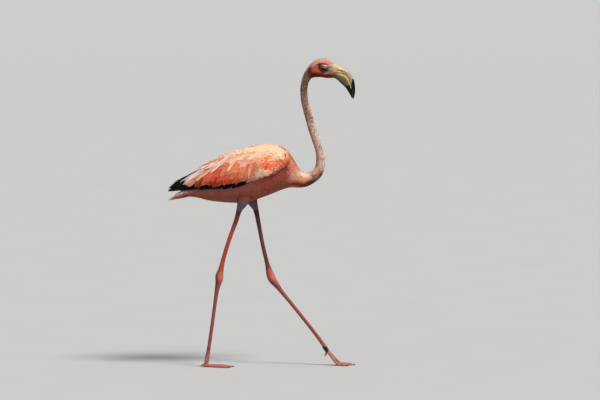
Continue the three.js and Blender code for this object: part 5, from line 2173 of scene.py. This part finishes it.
def tail_coat():
    rng = np.random.default_rng(SEEDS["tail"])
    outermost = (TAIL_FEATHERS - 1) / 2
    index = np.arange(TAIL_FEATHERS) - outermost
    index = index[np.argsort(-np.abs(index))]
    inward = outermost - np.abs(index)
    root = np.column_stack([np.full(TAIL_FEATHERS, TAIL_ROOT_X), index * 2.4])
    way = np.column_stack([TAIL_TIP_X + 4.4 * (np.abs(index) - 0.5), index * 2.6]) - root
    # the outer feathers darker: painted shade
    tint = mix(mix(UNDER_TAIL, PEACH_PALE, 0.4), BELLY_SHADE_BROWN, ramp(np.abs(index), 0.4, 2.6))
    middle = grow(tail_surface, 1, {
        "u": root[:, 0] * MM, "v": root[:, 1] * MM, "way": way * MM,
        "length": np.linalg.norm(way, axis=1) * MM,
        "width": np.full(TAIL_FEATHERS, TAIL_WIDTH * MM),
        "low": inward * 0.5 * MM, "high": inward * 0.35 * MM,
        "turn": np.zeros(TAIL_FEATHERS),
        "tint": uneven(tint, rng), "edge": uneven(mix(tint, np.ones(3), 0.35), rng),
        "map": np.column_stack([(root[:, 0] + MAP_START) / MAP_LENGTH, 0.5 + root[:, 1] / 60]),
        "shaft": -0.15,
    }, POINTED_VANE)
    clumps = [middle]
    for side in (1, -1):
        feathers = row(TAIL_ROOTS, TAIL_TIPS, OUTER_FEATHERS, rng, 0.8)
        # the lower feathers darker: painted shade
        tint = np.linspace(mix(UNDER_TAIL, PEACH_PALE, 0.5), BELLY_SHADE_BROWN, OUTER_FEATHERS)
        edge = np.tile(PEACH_PALE, (OUTER_FEATHERS, 1))
        clumps.append(wing_tract(
            tail_side(side), side, feathers, 8, (-1.0, 0.6), tint, edge, rng, POINTED_VANE,
            spread=0.01, shaft=-0.4,
        ))
    for end, gaps, sizes, above, seed in TAIL_COVERTS:
        gaps, sizes = ([table([0], [size]) for size in pair] for pair in (gaps, sizes))
        clumps.append(body_tract(
            2.2, end, gaps, sizes, np.random.default_rng(seed),
            keep=lambda s, a, point: np.cos(a) >= 0.0 if above else np.cos(a) < 0.1,
        ))
    coat("tail_coat", "tail_plumage", (0.72, 0.6, 0.00007), clumps)


# ---- Floor and everything together ----

FLOOR_RADIUS = 3000.0
FLOOR_RISE = 0.03  # far off the floor rises gently, so that no horizon shows
FLOOR_COLOUR = (0.5, 0.505, 0.515)


def add_floor():
    turn = turns(96)
    radii = np.array([0.02, 1, 3, 10, 30, 100, 300, 1000, FLOOR_RADIUS])[:, None]
    rise = FLOOR_RISE * np.maximum(radii - 100, 0) * np.ones(len(turn))
    points = np.stack([radii * np.cos(turn), radii * np.sin(turn), rise], -1)
    faces = [grid_faces(len(radii), len(turn))[:, ::-1], cap_faces(np.arange(len(turn)))]
    floor = make_object("floor", points.reshape(-1, 3), [np.concatenate(faces)])
    floor.data.materials.append(floor_material())


add_camera()
add_lights()
add_floor()
add_skin()
eye_look = eye_material()
for eye_side in (1, -1):
    finish_piece(eye_ball(eye_side), "eye", eye_look, [f"eye_{side_name(eye_side)}"])
for half, bill_roughness in (("upper", 0.34), ("lower", 0.38)):
    horn = horn_material(f"{half}_horn", bill_roughness, (1, 6, 1))
    finish_piece(mandible(f"{half}_mandible", half == "upper"), "bill_horn", horn, [f"bill_{half}"])
for leg_side in ("right", "left"):
    claw_piece(leg_side)
    thigh_coat(leg_side)
body_coats()
back_coat()
tail_coat()
for wing_side in (1, -1):
    wing_coats(wing_side)
    flight_feathers(wing_side)

bpy.context.scene.view_settings.view_transform = "Standard"
